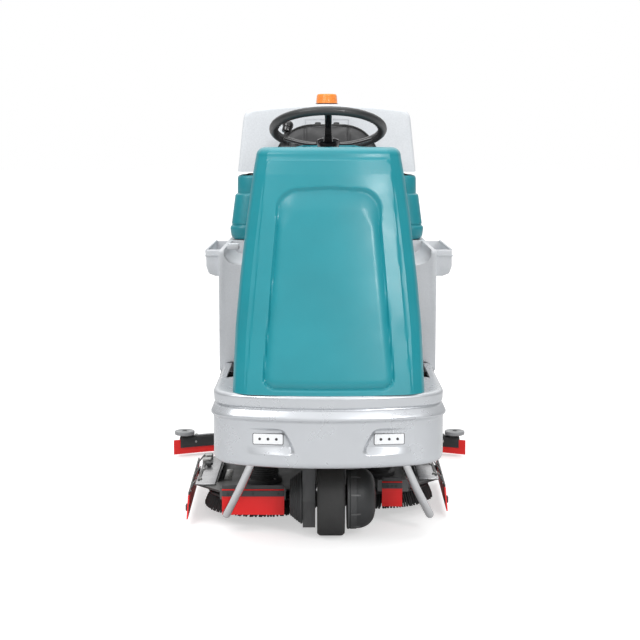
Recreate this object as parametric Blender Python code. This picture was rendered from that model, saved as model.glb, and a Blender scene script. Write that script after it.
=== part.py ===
"""Ride-on scrubber: a battery floor-cleaning machine with a driven front wheel, a staggered twin-disc
brush deck, a curved rear squeegee, a solution tank, a recovery tank with a tilting lid, and a seat.

Metres, +Z up, the driver faces -Y. Shapes are given in the machine's own frame: x from the body's centre
line, y back from the bumper's front face, z up from the floor. An empty places that frame so that the
origin is under the middle of the whole machine.
"""

import math

import bmesh
import bpy
from mathutils import Matrix, Vector

# ---- Driving dimensions -------------------------------------------------------------------------------
LENGTH = 1.450  # bumper front to recovery tank rear
BODY_X = 0.026  # the brush deck and squeegee are offset this far from the body's centre line
GAP = 0.0003  # between two pieces that touch
ROUND_STEPS = 32  # facets around a large round piece
SMALL_STEPS = 20  # facets around a small round piece

BUMPER_HALF = 0.338
BUMPER_LOW = 0.255
BUMPER_TOP = 0.466
BUMPER_BACK = 0.618
BUMPER_WALL = 0.012
CORNER_X = 0.26  # where the bumper's front bow ends and its corner starts
CORNER_Y = 0.045
FOOTWELL_HALF = 0.312
FOOTWELL_FRONT = 0.292
PLATFORM_TOP = 0.390

COVER_TOP = 1.167
COVER_WALL = 0.006

TANK_HALF = 0.355
TANK_FRONT = 0.620
TANK_BACK = 1.437
TANK_LOW = 0.300
TANK_TOP = 0.8345
SCOOP_FLOOR = 0.785
SCOOP_BACK = 1.062
TRAY_LOW = 0.748
TANK_WALL = 0.014
CAP_DEPTH = 0.0193
FILLER = Vector((0.200, TANK_BACK + GAP, 0.530))
DRAIN = Vector((-0.180, TANK_BACK + GAP, 0.480))

RECOVERY_LOW = 0.838
RECOVERY_TOP = 1.065
COLLAR_TOP = 1.0765

LID_LOW = 1.078
LID_TOP = 1.318
LID_FRONT = 1.100
LID_BACK = 1.405
LID_WALL = 0.008

WHEEL_RADIUS = 0.115  # driven front wheel
STEER_X = 0.008
STEER_Y = 0.2264
REAR_RADIUS = 0.130
REAR_AXLE_Y = 1.030
REAR_TRACK_HALF = 0.290

BRUSH_RADIUS = 0.185
BRUSH_LOW = 0.037
BRUSH_LEFT = (-0.208, 0.463)
BRUSH_RIGHT = (0.158, 0.560)
DECK_LOW = 0.100
DECK_TOP = 0.106

SQUEEGEE_X = -BODY_X
SQUEEGEE_HALF = 0.551
SQUEEGEE_BACK = 1.385
SQUEEGEE_END = 1.250
SWING_Y = 1.315
ARM_PIVOT = (1.190, 0.215)
CASTER_BEHIND = 0.050
CASTER_Z = 0.030

RIM_CENTRE = (0.420, 1.220)
RIM_RADIUS = 0.167
RIM_THICK = 0.0135
COLUMN_TILT = math.radians(18.5)
WHEEL_DISH = 0.048

SEAT_PIVOT = (0.640, 0.7875)

DASH_REAR = (0.430, 1.090)
DASH_FRONT = (0.352, 1.140)
DASH_NORMAL = Vector((0, 0.050, 0.078)).normalized()

# ---- Materials ----------------------------------------------------------------------------------------
PALETTE = {
    "teal_plastic": ((0.036, 0.327, 0.381), 0.32, 0.0),
    "silver_paint": ((0.60, 0.63, 0.66), 0.38, 0.25),
    "tank_plastic": ((0.47, 0.49, 0.51), 0.45, 0.0),
    "lid_plastic": ((0.72, 0.75, 0.79), 0.42, 0.0),
    "dark_plastic": ((0.045, 0.045, 0.048), 0.50, 0.0),
    "black_rubber": ((0.028, 0.028, 0.029), 0.75, 0.0),
    "red_rubber": ((0.80, 0.022, 0.022), 0.48, 0.0),
    "steel": ((0.45, 0.45, 0.46), 0.35, 0.9),
    "dark_metal": ((0.032, 0.032, 0.034), 0.45, 0.4),
    "vinyl": ((0.06, 0.06, 0.062), 0.60, 0.0),
    "bristle": ((0.018, 0.018, 0.020), 0.85, 0.0),
    "amber": ((0.99, 0.32, 0.03), 0.25, 0.0),
    "white_lens": ((0.85, 0.86, 0.88), 0.20, 0.0),
    "signal_red": ((0.70, 0.02, 0.02), 0.40, 0.0),
}


def clear_scene():
    for obj in list(bpy.data.objects):
        bpy.data.objects.remove(obj, do_unlink=True)


def make_material(name):
    colour, roughness, metallic = PALETTE[name]
    material = bpy.data.materials.new(name)
    material.use_nodes = True
    shader = material.node_tree.nodes["Principled BSDF"]
    shader.inputs["Base Color"].default_value = (*colour, 1.0)
    shader.inputs["Roughness"].default_value = roughness
    shader.inputs["Metallic"].default_value = metallic
    return material


# ---- Bodies: an empty on each joint's axis carries the pieces that move together ------------------------
class Body:
    def __init__(self, name, pivot, parent=None):
        self.pivot = Vector(pivot)
        self.fixed = parent is None
        self.empty = bpy.data.objects.new(name, None)
        self.empty.empty_display_size = 0.03
        bpy.context.scene.collection.objects.link(self.empty)
        if parent:
            self.empty.parent = parent.empty
            self.empty.location = self.pivot - parent.pivot
        else:
            self.empty.location = (BODY_X, -LENGTH / 2, 0)


def finish(name, bm, material, body):
    """Make the mesh an object of the body, with its origin on the body's joint axis."""
    bmesh.ops.recalc_face_normals(bm, faces=bm.faces)
    origin = body.pivot
    if body.fixed:
        points = [v.co for v in bm.verts]
        low = Vector([min(p[i] for p in points) for i in range(3)])
        high = Vector([max(p[i] for p in points) for i in range(3)])
        origin = (low + high) / 2
    bmesh.ops.translate(bm, vec=-origin, verts=bm.verts)
    mesh = bpy.data.meshes.new(name)
    bm.to_mesh(mesh)
    bm.free()
    mesh.shade_smooth()
    mesh.set_sharp_from_angle(angle=math.radians(35))
    mesh.materials.append(bpy.data.materials.get(material) or make_material(material))
    obj = bpy.data.objects.new(name, mesh)
    bpy.context.scene.collection.objects.link(obj)
    obj.parent = body.empty
    obj.location = origin - body.pivot
    return obj


# ---- Shape helpers --------------------------------------------------------------------------------------
PLANES = {"XY": (0, 1, 2), "XZ": (0, 2, 1), "YZ": (1, 2, 0)}


def lifted(point, plane, level):
    """A 2-D point of the plane as a 3-D point, at a level along the plane's normal."""
    across, up, normal = PLANES[plane]
    place = [0.0, 0.0, 0.0]
    place[across] = point[0]
    place[up] = point[1]
    place[normal] = level
    return place


def loft(name, rings, material, body):
    """A closed solid through rings with equal numbers of points."""
    bm = bmesh.new()
    made = [[bm.verts.new(p) for p in ring] for ring in rings]
    count = len(made[0])
    for lower, upper in zip(made, made[1:]):
        for i in range(count):
            j = (i + 1) % count
            bm.faces.new((lower[i], lower[j], upper[j], upper[i]))
    bm.faces.new(made[0])
    bm.faces.new(made[-1])
    return finish(name, bm, material, body)


def prism(name, outline, plane, low, high, material, body):
    rings = [[lifted(p, plane, level) for p in outline] for level in (low, high)]
    return loft(name, rings, material, body)


def box(name, low, high, material, body):
    outline = ((low[0], low[1]), (high[0], low[1]), (high[0], high[1]), (low[0], high[1]))
    return prism(name, outline, "XY", low[2], high[2], material, body)


def turned(name, profile, centre, axis, material, body, steps=ROUND_STEPS):
    """Turn a profile of (radius, along) points about an axis through the centre. A profile that never
    reaches the axis is closed on itself, as on a tyre."""
    bm = bmesh.new()
    points = [bm.verts.new((radius, 0, along)) for radius, along in profile]
    edges = [bm.edges.new(pair) for pair in zip(points, points[1:])]
    if profile[0][0] > 0:
        edges.append(bm.edges.new((points[-1], points[0])))
    bmesh.ops.spin(
        bm, geom=points + edges, axis=(0, 0, 1), cent=(0, 0, 0),
        angle=math.tau, steps=steps, use_merge=True, use_duplicate=False,
    )
    bmesh.ops.remove_doubles(bm, verts=bm.verts, dist=1e-6)
    turn = Vector((0, 0, 1)).rotation_difference(Vector(axis)).to_matrix()
    bmesh.ops.rotate(bm, verts=bm.verts, cent=(0, 0, 0), matrix=turn)
    bmesh.ops.translate(bm, vec=Vector(centre), verts=bm.verts)
    return finish(name, bm, material, body)


def cylinder(name, radius, start, end, material, body, steps=SMALL_STEPS):
    span = Vector(end) - Vector(start)
    profile = ((0, 0), (radius, 0), (radius, span.length), (0, span.length))
    return turned(name, profile, start, span.normalized(), material, body, steps)


def eased(points, radius, steps=4):
    """A polyline's corners replaced by short curves that start this far from each corner."""
    path = [Vector(points[0])]
    for before, corner, after in zip(points, points[1:], points[2:]):
        corner = Vector(corner)
        start = corner + (Vector(before) - corner).normalized() * radius
        end = corner + (Vector(after) - corner).normalized() * radius
        for i in range(steps + 1):
            t = i / steps
            path.append(start * (1 - t) ** 2 + corner * 2 * t * (1 - t) + end * t**2)
    path.append(Vector(points[-1]))
    return path


def tube(name, points, radius, material, body):
    """A round bar along a path: a curve with a bevel and closed ends."""
    curve = bpy.data.curves.new(name, "CURVE")
    curve.dimensions = "3D"
    spline = curve.splines.new("POLY")
    spline.points.add(len(points) - 1)
    origin = body.pivot if not body.fixed else Vector(points[0])
    for slot, point in zip(spline.points, points):
        slot.co = (*(Vector(point) - origin), 1)
    curve.bevel_depth = radius
    curve.bevel_resolution = 3
    curve.use_fill_caps = True
    curve.materials.append(bpy.data.materials.get(material) or make_material(material))
    obj = bpy.data.objects.new(name, curve)
    bpy.context.scene.collection.objects.link(obj)
    obj.parent = body.empty
    obj.location = origin - body.pivot
    return obj


def soften(obj, width, segments=2):
    bevel = obj.modifiers.new("soft_edges", "BEVEL")
    bevel.width = width
    bevel.segments = segments
    bevel.limit_method = "ANGLE"
    bevel.angle_limit = math.radians(40)
    return obj


def combine(obj, helpers, operation):
    for helper in helpers:
        helper.hide_render = True
        helper.display_type = "WIRE"
        step = obj.modifiers.new(helper.name, "BOOLEAN")
        step.operation = operation
        step.object = helper
    return obj


def cut(obj, *helpers):
    return combine(obj, helpers, "DIFFERENCE")


def unite(obj, *helpers):
    return combine(obj, helpers, "UNION")


def mirrored(points):
    """Half an outline on the +x side, with its other half added."""
    return list(points) + [(-x, y) for x, y in reversed(points)]


# ---- Front: bumper, lights, cover and console -------------------------------------------------------------
def bumper_outline(inset, back=BUMPER_BACK, bow_steps=5, corner_steps=5):
    """The bumper's plan: a bowed front, rounded corners and straight sides."""
    grow = (BUMPER_HALF - inset) / BUMPER_HALF
    half = []
    for i in range(bow_steps):
        x = CORNER_X * (i + 0.5) / bow_steps
        half.append((x, CORNER_Y * (x / CORNER_X) ** 2))
    slope = 2 * CORNER_Y / CORNER_X
    start = Vector((CORNER_X, CORNER_Y))
    middle = Vector((BUMPER_HALF, CORNER_Y + slope * (BUMPER_HALF - CORNER_X)))
    end = Vector((BUMPER_HALF, 0.16))
    for i in range(corner_steps + 1):
        t = i / corner_steps
        half.append(tuple(start * (1 - t) ** 2 + middle * 2 * t * (1 - t) + end * t**2))
    shaped = [(x * grow, inset + y) for x, y in half]
    shaped.append((BUMPER_HALF - inset, back))
    return mirrored(shaped)


def bumper_shell(body):
    levels = (
        (BUMPER_LOW, 0.010), (0.263, 0.003), (0.275, 0.0), (0.386, 0.0), (0.397, -0.007),
        (0.404, -0.0065), (0.423, 0.003), (0.4275, 0.0065), (0.431, 0.003), (0.456, 0.001), (BUMPER_TOP, 0.008),
    )
    rings = [[(x, y, z) for x, y in bumper_outline(inset)] for z, inset in levels]
    shell = loft("bumper_shell", rings, "silver_paint", body)
    inner = bumper_outline(BUMPER_WALL, BUMPER_BACK + 0.1)
    hollow = prism("bumper_hollow", inner, "XY", 0.20, BUMPER_TOP - BUMPER_WALL, "silver_paint", body)
    footwell = box(
        "footwell_cutter", (-FOOTWELL_HALF, FOOTWELL_FRONT, 0.43), (FOOTWELL_HALF, 0.75, 0.50),
        "silver_paint", body,
    )
    recesses = []
    for side in (-1, 1):
        outline = ((side * 0.105, 0.3255), (side * 0.240, 0.3255), (side * 0.240, 0.357), (side * 0.120, 0.357))
        recesses.append(prism(f"lamp_recess_{side}", outline, "XZ", -0.02, 0.090, "silver_paint", body))
    return cut(shell, hollow, footwell, *recesses)


def headlights(body):
    for side, word in ((-1, "left"), (1, "right")):
        outline = (
            (side * 0.1055, 0.3258), (side * 0.2397, 0.3258), (side * 0.2397, 0.3567), (side * 0.1205, 0.3567),
        )
        levels = ((0.014, 0.030), (0.042, 0.058))
        rings = []
        for near, far in levels:
            rings.append([
                (x, near + (far - near) * (abs(x) - 0.1055) / 0.1342, z) for x, z in outline
            ])
        loft(f"headlight_{word}", rings, "white_lens", body)


COVER_SECTIONS = (  # height, half width, front, back
    (BUMPER_TOP + GAP, 0.277, 0.012, 0.290),
    (0.651, 0.2696, 0.052, 0.305),
    (0.799, 0.2565, 0.082, 0.318),
    (0.940, 0.2404, 0.108, 0.330),
    (1.088, 0.2206, 0.134, 0.342),
    (1.142, 0.2110, 0.146, 0.346),
    (1.160, 0.2000, 0.156, 0.338),
    (COVER_TOP, 0.1850, 0.172, 0.325),
)
COVER_BEVEL = 0.034
COVER_BOW = 0.036


def cover_ring(height, half, front, back, inset=0.0):
    half -= inset
    front += inset
    points = []
    for i in range(4):
        x = (half - COVER_BEVEL) * (i + 0.5) / 3.5
        points.append((x, front + COVER_BOW * (x / half) ** 2))
    points.append((half - 0.008, front + COVER_BOW + 0.010))
    points.append((half, front + COVER_BOW + 0.032))
    points.append((half, back))
    return [(x, y, height) for x, y in mirrored(points)]


def front_cover(body):
    rings = [cover_ring(*section) for section in COVER_SECTIONS]
    cover = loft("front_cover", rings, "teal_plastic", body)
    inner = []
    for height, half, front, back in COVER_SECTIONS[:-2]:
        inner.append(cover_ring(height, half, front, back + 0.05, COVER_WALL))
    inner[0] = [(x, y, z - 0.01) for x, y, z in inner[0]]
    return cut(cover, loft("cover_hollow", inner, "teal_plastic", body))


def cover_inside(height):
    """Half the width between the cover's side walls at a height."""
    for (low, half_low, *_), (high, half_high, *_) in zip(COVER_SECTIONS, COVER_SECTIONS[1:]):
        if height <= high:
            part = max(0.0, (height - low) / (high - low))
            return half_low + (half_high - half_low) * part - COVER_WALL
    return 0.0


def console_solid(name, side, inset, body):
    """A solid with this side outline, as wide as the cover is inside at each height."""
    rings = []
    for sign in (-1, 1):
        rings.append([(sign * (cover_inside(z) - inset), y, z) for y, z in side])
    return loft(name, rings, "dark_plastic", body)


def console(body):
    """The driver's side of the front column: a shell with a sloping instrument face on top, whose
    side walls reach forward into the cover."""
    outer = (
        (0.2700, 0.468), (0.3005, 0.468), (0.345, 0.840), (0.388, 0.950), (0.420, 1.050), DASH_REAR,
        DASH_FRONT, (0.325, 1.140), (0.312, 1.050), (0.300, 0.840),
    )
    inner = (
        (0.2000, 0.440), (0.2925, 0.440), (0.337, 0.842), (0.380, 0.954), (0.411, 1.050),
        (0.418, 1.082), (0.345, 1.130), (0.2000, 1.130),
    )
    panel = console_solid("console", outer, 0.001, body)
    hollow = console_solid("console_hollow", inner, 0.007, body)
    return cut(panel, hollow, cylinder(
        "column_hole", 0.031, column_point(0.040), column_point(0.170), "dark_plastic", body))


def column_axis():
    return Vector((0, math.sin(COLUMN_TILT), math.cos(COLUMN_TILT)))


def column_point(below):
    """A point on the steering column's axis, this far below the rim's centre."""
    return Vector((0, *RIM_CENTRE)) - column_axis() * below


def steering_column(body):
    top = column_point(WHEEL_DISH + 0.021)
    column = cylinder("steering_column", 0.020, column_point(0.40), top, "dark_metal", body)
    shroud = turned(
        "column_shroud",
        ((0, 0), (0.026, 0), (0.028, 0.055), (0.024, 0.075), (0, 0.075)),
        column_point(0.150), column_axis(), "dark_plastic", body, SMALL_STEPS,
    )
    foot = box("column_foot", (-0.04, 0.2620, 0.8320), (0.04, 0.3345, 0.8520), "dark_metal", body)
    return unite(column, shroud, foot)


def steering_wheel(body):
    rim_circle = [
        (RIM_RADIUS + RIM_THICK * math.cos(a), RIM_THICK * math.sin(a))
        for a in (math.tau * i / 8 for i in range(8))
    ]
    centre = column_point(0)
    rim = turned("steering_wheel", rim_circle, centre, column_axis(), "dark_plastic", body, 36)
    hub_profile = ((0, -0.018), (0.024, -0.018), (0.036, 0.0), (0.036, 0.012), (0.026, 0.018), (0, 0.018))
    hub = turned("rim_hub", hub_profile, column_point(WHEEL_DISH), column_axis(), "dark_plastic", body, 20)
    right = Vector((1, 0, 0))
    ahead = column_axis().cross(right)
    spokes = []
    for number, degrees in enumerate((-90, 30, 150)):
        angle = math.radians(degrees)
        outward = right * math.cos(angle) + ahead * math.sin(angle)
        sideways = column_axis().cross(outward)
        rings = []
        for reach, drop, width, thick in ((0.018, WHEEL_DISH, 0.016, 0.006), (0.09, 0.032, 0.011, 0.005),
                                          (RIM_RADIUS, 0.0, 0.010, 0.005)):
            middle = centre + outward * reach - column_axis() * drop
            rings.append([
                middle + sideways * width * a + column_axis() * thick * b
                for a, b in ((-1, -1), (1, -1), (1, 1), (-1, 1))
            ])
        spokes.append(loft(f"rim_spoke_{number}", rings, "dark_plastic", body))
    knob_turn = math.radians(144)
    knob_foot = centre + (right * math.cos(knob_turn) + ahead * math.sin(knob_turn)) * RIM_RADIUS
    knob = turned(
        "spinner_knob",
        ((0, 0), (0.006, 0), (0.006, 0.030), (0.014, 0.032), (0.014, 0.054), (0.009, 0.060), (0, 0.060)),
        knob_foot, column_axis() + right * 0.2, "dark_plastic", body, 12,
    )
    return unite(rim, hub, knob, *spokes)


def direction_lever(body):
    """A short lever with a ball grip on the left of the column."""
    root = body.pivot
    bend = root + Vector((-0.060, 0.004, 0.004))
    tip = root + Vector((-0.078, 0.008, 0.026))
    lever = cylinder("direction_lever", 0.005, root, bend, "dark_metal", body, 12)
    riser = cylinder("lever_riser", 0.005, bend - Vector((-0.001, 0, 0.004)), tip, "dark_metal", body, 12)
    grip = turned(
        "lever_grip", ((0, -0.013), (0.009, -0.009), (0.013, 0), (0.009, 0.009), (0, 0.013)),
        tip, (0, 0, 1), "dark_plastic", body, 12,
    )
    return unite(lever, riser, grip)


# ---- Controls ---------------------------------------------------------------------------------------------
def dash_point(x, along):
    """A point on the sloping instrument face, from its lower edge towards its upper edge."""
    return Vector((x, *DASH_REAR)).lerp(Vector((x, *DASH_FRONT)), along)


def dash_controls(key_body, stop_body, horn_body):
    start = key_body.pivot + DASH_NORMAL * GAP
    key = turned(
        "key_switch", ((0, 0), (0.012, 0), (0.012, 0.005), (0.004, 0.006), (0.004, 0.016), (0, 0.016)),
        start, DASH_NORMAL, "steel", key_body, 16,
    )
    bow = box("key_bow", (-0.010, -0.0015, 0.012), (0.010, 0.0015, 0.034), "steel", key_body)
    bow.data.transform(Matrix.Translation(key_body.pivot))
    bow.rotation_mode = "QUATERNION"
    bow.rotation_quaternion = Vector((0, 0, 1)).rotation_difference(DASH_NORMAL)
    bow.location = (0, 0, 0)
    unite(key, bow)
    turned(
        "emergency_stop",
        ((0, 0), (0.009, 0), (0.009, 0.012), (0.018, 0.014), (0.018, 0.020), (0.010, 0.026), (0, 0.027)),
        stop_body.pivot + DASH_NORMAL * 0.007, DASH_NORMAL, "signal_red", stop_body, 18,
    )
    turned(
        "horn_button", ((0, 0), (0.010, 0), (0.010, 0.004), (0.007, 0.006), (0, 0.0065)),
        horn_body.pivot + DASH_NORMAL * 0.005, DASH_NORMAL, "dark_plastic", horn_body, 16,
    )


def pedal(name, body, half, material):
    y, z = body.pivot.y, body.pivot.z
    x = body.pivot.x
    side = ((y - 0.004, z - 0.003), (y + 0.004, z - 0.003), (y - 0.058, z + 0.118), (y - 0.066, z + 0.115))
    plate = prism(name, side, "YZ", x - half, x + half, material, body)
    return unite(plate, cylinder(
        name + "_barrel", 0.0055, (x - half - 0.006, y, z), (x + half + 0.006, y, z), material, body, 12))


# ---- Platform and frame -------------------------------------------------------------------------------------
def platform(body):
    plate = prism(
        "platform",
        ((-0.3255, FOOTWELL_FRONT), (0.3255, FOOTWELL_FRONT), (0.3255, 0.6170), (-0.3255, 0.6170)),
        "XY", 0.374, PLATFORM_TOP, "dark_plastic", body,
    )
    return plate


def step_blocks(body):
    for side, word in ((-1, "left"), (1, "right")):
        x_in, x_out = sorted((side * 0.296, side * 0.3545))
        block = box(
            f"step_block_{word}", (x_in, 0.6200, 0.3903), (x_out, 0.6550, 0.4290),
            "black_rubber", body,
        )
        soften(block, 0.006, 2)


def chassis_frame(body):
    """A flat backbone under the tanks, with outriggers, and ears for the squeegee arm."""
    low, high = 0.278, TANK_LOW - GAP
    spine = box("chassis_frame", (-0.135, 0.100, low), (0.135, 1.215, high), "dark_metal", body)
    parts = [
        box("front_plate", (-0.20, 0.100, low), (0.20, 0.360, high), "dark_metal", body),
        box("middle_outrigger", (-0.315, 0.590, low), (0.315, 0.640, high), "dark_metal", body),
        box("rear_outrigger", (-0.240, 0.990, low), (0.240, 1.070, high), "dark_metal", body),
    ]
    for side in (-1, 1):
        for y in (0.33, 0.60):
            parts.append(box(
                f"platform_post_{side}_{y}", (side * 0.115 - 0.015, y - 0.012, high - 0.01),
                (side * 0.115 + 0.015, y + 0.012, 0.374 - GAP), "dark_metal", body,
            ))
        x = SQUEEGEE_X + side * 0.050
        ear = ((1.165, 0.285), (1.172, 0.200), (1.208, 0.200), (1.215, 0.285))
        parts.append(prism(f"arm_ear_{side}", ear, "YZ", x - 0.004, x + 0.004, "dark_metal", body))
    return unite(spine, *parts)


def lift_sleeve(body):
    """The fixed tube of the deck's lift actuator, hung from the frame."""
    profile = ((0.0125, 0), (0.021, 0), (0.021, 0.120), (0.0125, 0.120))
    turned("deck_lift_tube", profile, (-0.022, 0.720, 0.278 - GAP - 0.120), (0, 0, 1), "steel", body, 18)


def guard_tubes(body):
    for side, word in ((-1, "left"), (1, "right")):
        points = (
            (side * 0.160, 0.150, 0.2645), (side * 0.218, 0.150, 0.2645),
            (side * 0.262, 0.190, 0.155), (side * 0.314, 0.238, 0.052),
        )
        tube(f"guard_tube_{word}", eased(points, 0.016), 0.0125, "steel", body)


def rear_axle(body):
    axle = cylinder(
        "rear_axle", 0.016, (-0.335, REAR_AXLE_Y, REAR_RADIUS), (0.335, REAR_AXLE_Y, REAR_RADIUS),
        "steel", body, 24,
    )
    hangers = []
    for side in (-1, 1):
        outline = (
            (REAR_AXLE_Y - 0.026, 0.106), (REAR_AXLE_Y + 0.026, 0.106),
            (REAR_AXLE_Y + 0.040, 0.278 - GAP), (REAR_AXLE_Y - 0.040, 0.278 - GAP),
        )
        hangers.append(prism(
            f"axle_hanger_{side}", outline, "YZ", side * 0.200 - 0.005, side * 0.200 + 0.005, "steel", body))
    return unite(axle, *hangers)


# ---- Tanks ------------------------------------------------------------------------------------------------
def solution_tank(body):
    side = (
        (TANK_FRONT, 0.436), (TANK_FRONT, TANK_TOP), (1.425, TANK_TOP), (TANK_BACK, 0.690),
        (TANK_BACK, 0.420), (1.330, TANK_LOW), (0.700, TANK_LOW), (0.664, 0.330), (0.664, 0.436),
    )
    tank = prism("solution_tank", side, "YZ", -TANK_HALF, TANK_HALF, "tank_plastic", body)
    soften(tank, 0.014, 2)
    trays, wells = [], []
    for sign in (-1, 1):
        x_in, x_out = sorted((sign * 0.34, sign * (0.4064 if sign > 0 else 0.397)))
        tray = box(f"tray_{sign}", (x_in, 0.636, TRAY_LOW), (x_out, 1.056, TANK_TOP - 0.001), "tank_plastic", body)
        trays.append(soften(tray, 0.012, 2))
        well_in, well_out = sorted((sign * 0.352, sign * (0.400 if sign > 0 else 0.391)))
        wells.append(box(
            f"tray_well_{sign}", (well_in, 0.650, TRAY_LOW + 0.016), (well_out, 1.040, 0.90),
            "tank_plastic", body,
        ))
    scoop_half = [(0.282, SCOOP_FLOOR), (0.312, 0.789), (0.334, 0.806), (0.341, 0.86)]
    scoop = prism("seat_scoop", mirrored(scoop_half), "XZ", 0.55, SCOOP_BACK, "tank_plastic", body)
    bay = box("battery_bay", (-0.235, 0.665, 0.450), (0.235, 1.040, 0.90), "tank_plastic", body)
    motor_bay = cylinder("motor_bay", 0.085, (0, 1.250, 0.600), (0, 1.250, 0.90), "tank_plastic", body, 24)
    return cut(unite(tank, *trays), *wells, scoop, bay, motor_bay, *water_chambers(body))


def water_chambers(body):
    """The space that the solution fills, around the battery bay, open at the filler neck."""
    inside = TANK_HALF - TANK_WALL
    low = box("water_low", (-inside, 0.690, 0.316), (inside, 1.320, 0.438), "tank_plastic", body)
    rear = box("water_rear", (-inside, 1.054, 0.420), (inside, 1.420, 0.586), "tank_plastic", body)
    sides = []
    for sign in (-1, 1):
        x_in, x_out = sorted((sign * 0.249, sign * inside))
        sides.append(box(
            f"water_side_{sign}", (x_in, 0.640, 0.430), (x_out, 1.405, 0.735), "tank_plastic", body))
    neck = cylinder("filler_neck", 0.030, FILLER - Vector((0, 0.05, 0)), FILLER + Vector((0, 0.02, 0)),
                    "tank_plastic", body)
    return (low, rear, *sides, neck)


def tank_contents(body):
    pack = box("battery_pack", (-0.225, 0.672, 0.4505), (0.225, 1.033, 0.725), "dark_plastic", body)
    soften(pack, 0.006, 1)
    motor = ((0, 0), (0.070, 0), (0.078, 0.012), (0.078, 0.100), (0.060, 0.112), (0.060, 0.190), (0, 0.196))
    turned("vacuum_motor", motor, (0, 1.250, 0.600 + GAP), (0, 0, 1), "dark_metal", body, 24)


def recovery_ring(height, half, front, back, inset=0.0, radius=0.055):
    """A rounded rectangle in plan."""
    half -= inset
    front += inset
    back -= inset
    points = []
    for cx, cy, start in ((half - radius, front + radius, -90), (half - radius, back - radius, 0)):
        for i in range(5):
            angle = math.radians(start + 90 * i / 4)
            points.append((cx + radius * math.cos(angle), cy + radius * math.sin(angle)))
    return [(x, y, height) for x, y in mirrored(points)]


RECOVERY_SECTIONS = (  # height, half width, front, back
    (RECOVERY_LOW, 0.338, 1.078, 1.430),
    (0.850, 0.346, 1.073, TANK_BACK),
    (0.872, 0.349, 1.072, TANK_BACK),
    (0.893, 0.344, 1.074, TANK_BACK),
    (0.998, 0.330, 1.082, 1.432),
    (1.004, 0.323, 1.086, 1.431),
    (1.058, 0.322, 1.088, 1.431),
    (RECOVERY_TOP, 0.318, 1.091, 1.430),
)


def recovery_tank(body):
    tank = loft("recovery_tank", [recovery_ring(*s) for s in RECOVERY_SECTIONS], "teal_plastic", body)
    collar_rings = [recovery_ring(z, 0.262, 1.120, 1.385, 0.0, 0.030) for z in (1.050, COLLAR_TOP)]
    collar = loft("collar", collar_rings, "teal_plastic", body)
    chosen = [RECOVERY_SECTIONS[i] for i in (1, 3, 4)]
    hollow_rings = [recovery_ring(z, half, front, back, 0.010) for z, half, front, back in chosen]
    hollow_rings[0] = [(x, y, RECOVERY_LOW + 0.012) for x, y, z in hollow_rings[0]]
    hollow = loft("recovery_hollow", hollow_rings, "teal_plastic", body)
    mouth_rings = [recovery_ring(z, 0.250, 1.132, 1.373, 0.0, 0.018) for z in (0.98, 1.12)]
    mouth = loft("recovery_mouth", mouth_rings, "teal_plastic", body)
    return cut(unite(tank, collar), hollow, mouth)


def lid_outline(inset=0.0):
    """The lid from the front: sloping sides, rounded shoulders and a slightly arched top."""
    half_low = 0.319 - inset
    points = [(half_low, LID_LOW - (0.02 if inset else 0.0))]
    corner = Vector((0.2955 - inset, 1.300 - inset))
    start = Vector((0.2990 - inset, 1.262))
    end = Vector((0.2560, 1.3020 - inset))
    for i in range(5):
        t = i / 4
        points.append(tuple(start * (1 - t) ** 2 + corner * 2 * t * (1 - t) + end * t**2))
    for x in (0.17, 0.085):
        points.append((x, LID_TOP - inset - 0.0160 * (x / 0.2560) ** 2))
    return mirrored(points)


def tank_lid(body):
    lid = prism("tank_lid", lid_outline(), "XZ", LID_FRONT, LID_BACK, "lid_plastic", body)
    soften(lid, 0.009, 2)
    hollow = prism(
        "lid_hollow", lid_outline(LID_WALL + 0.004), "XZ", LID_FRONT + LID_WALL + 0.004,
        LID_BACK - LID_WALL - 0.004, "lid_plastic", body,
    )
    return cut(lid, hollow)


def beacon(body):
    profile = (
        (0, LID_TOP + GAP), (0.040, LID_TOP + GAP), (0.040, 1.323), (0.0375, 1.325),
        (0.0355, 1.354), (0.032, 1.357), (0, 1.357),
    )
    turned("beacon", profile, (0, 1.200, 0), (0, 0, 1), "amber", body, 24)


# ---- Seat --------------------------------------------------------------------------------------------------
def seat(body):
    pan = box("seat_pan", (-0.245, SEAT_PIVOT[0], 0.7853), (0.245, 1.050, 0.7990), "dark_metal", body)
    riser = box("seat_back_plate", (-0.120, 1.010, 0.7980), (0.120, 1.022, 1.060), "dark_metal", body)
    unite(pan, riser)
    cushion = box("seat_cushion", (-0.225, 0.645, 0.7993), (0.225, 0.925, 0.900), "vinyl", body)
    soften(cushion, 0.030, 2)
    half = [(0.200, 0.905), (0.206, 0.960), (0.196, 1.080), (0.170, 1.170), (0.128, 1.225), (0.075, 1.246)]
    back = prism("seat_back", mirrored(half), "XZ", 0.9300, 1.0097, "vinyl", body)
    soften(back, 0.018, 2)


# ---- Wheels and drive -----------------------------------------------------------------------------------------
def tyre_profile(radius, bore, half):
    shoulder = 0.012
    return (
        (bore, -half + 0.004), (radius - 0.030, -half), (radius - shoulder, -half), (radius - 0.003, -half + 0.007),
        (radius, -half + 0.018), (radius, half - 0.018), (radius - 0.003, half - 0.007),
        (radius - shoulder, half), (radius - 0.030, half), (bore, half - 0.004),
    )


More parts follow.
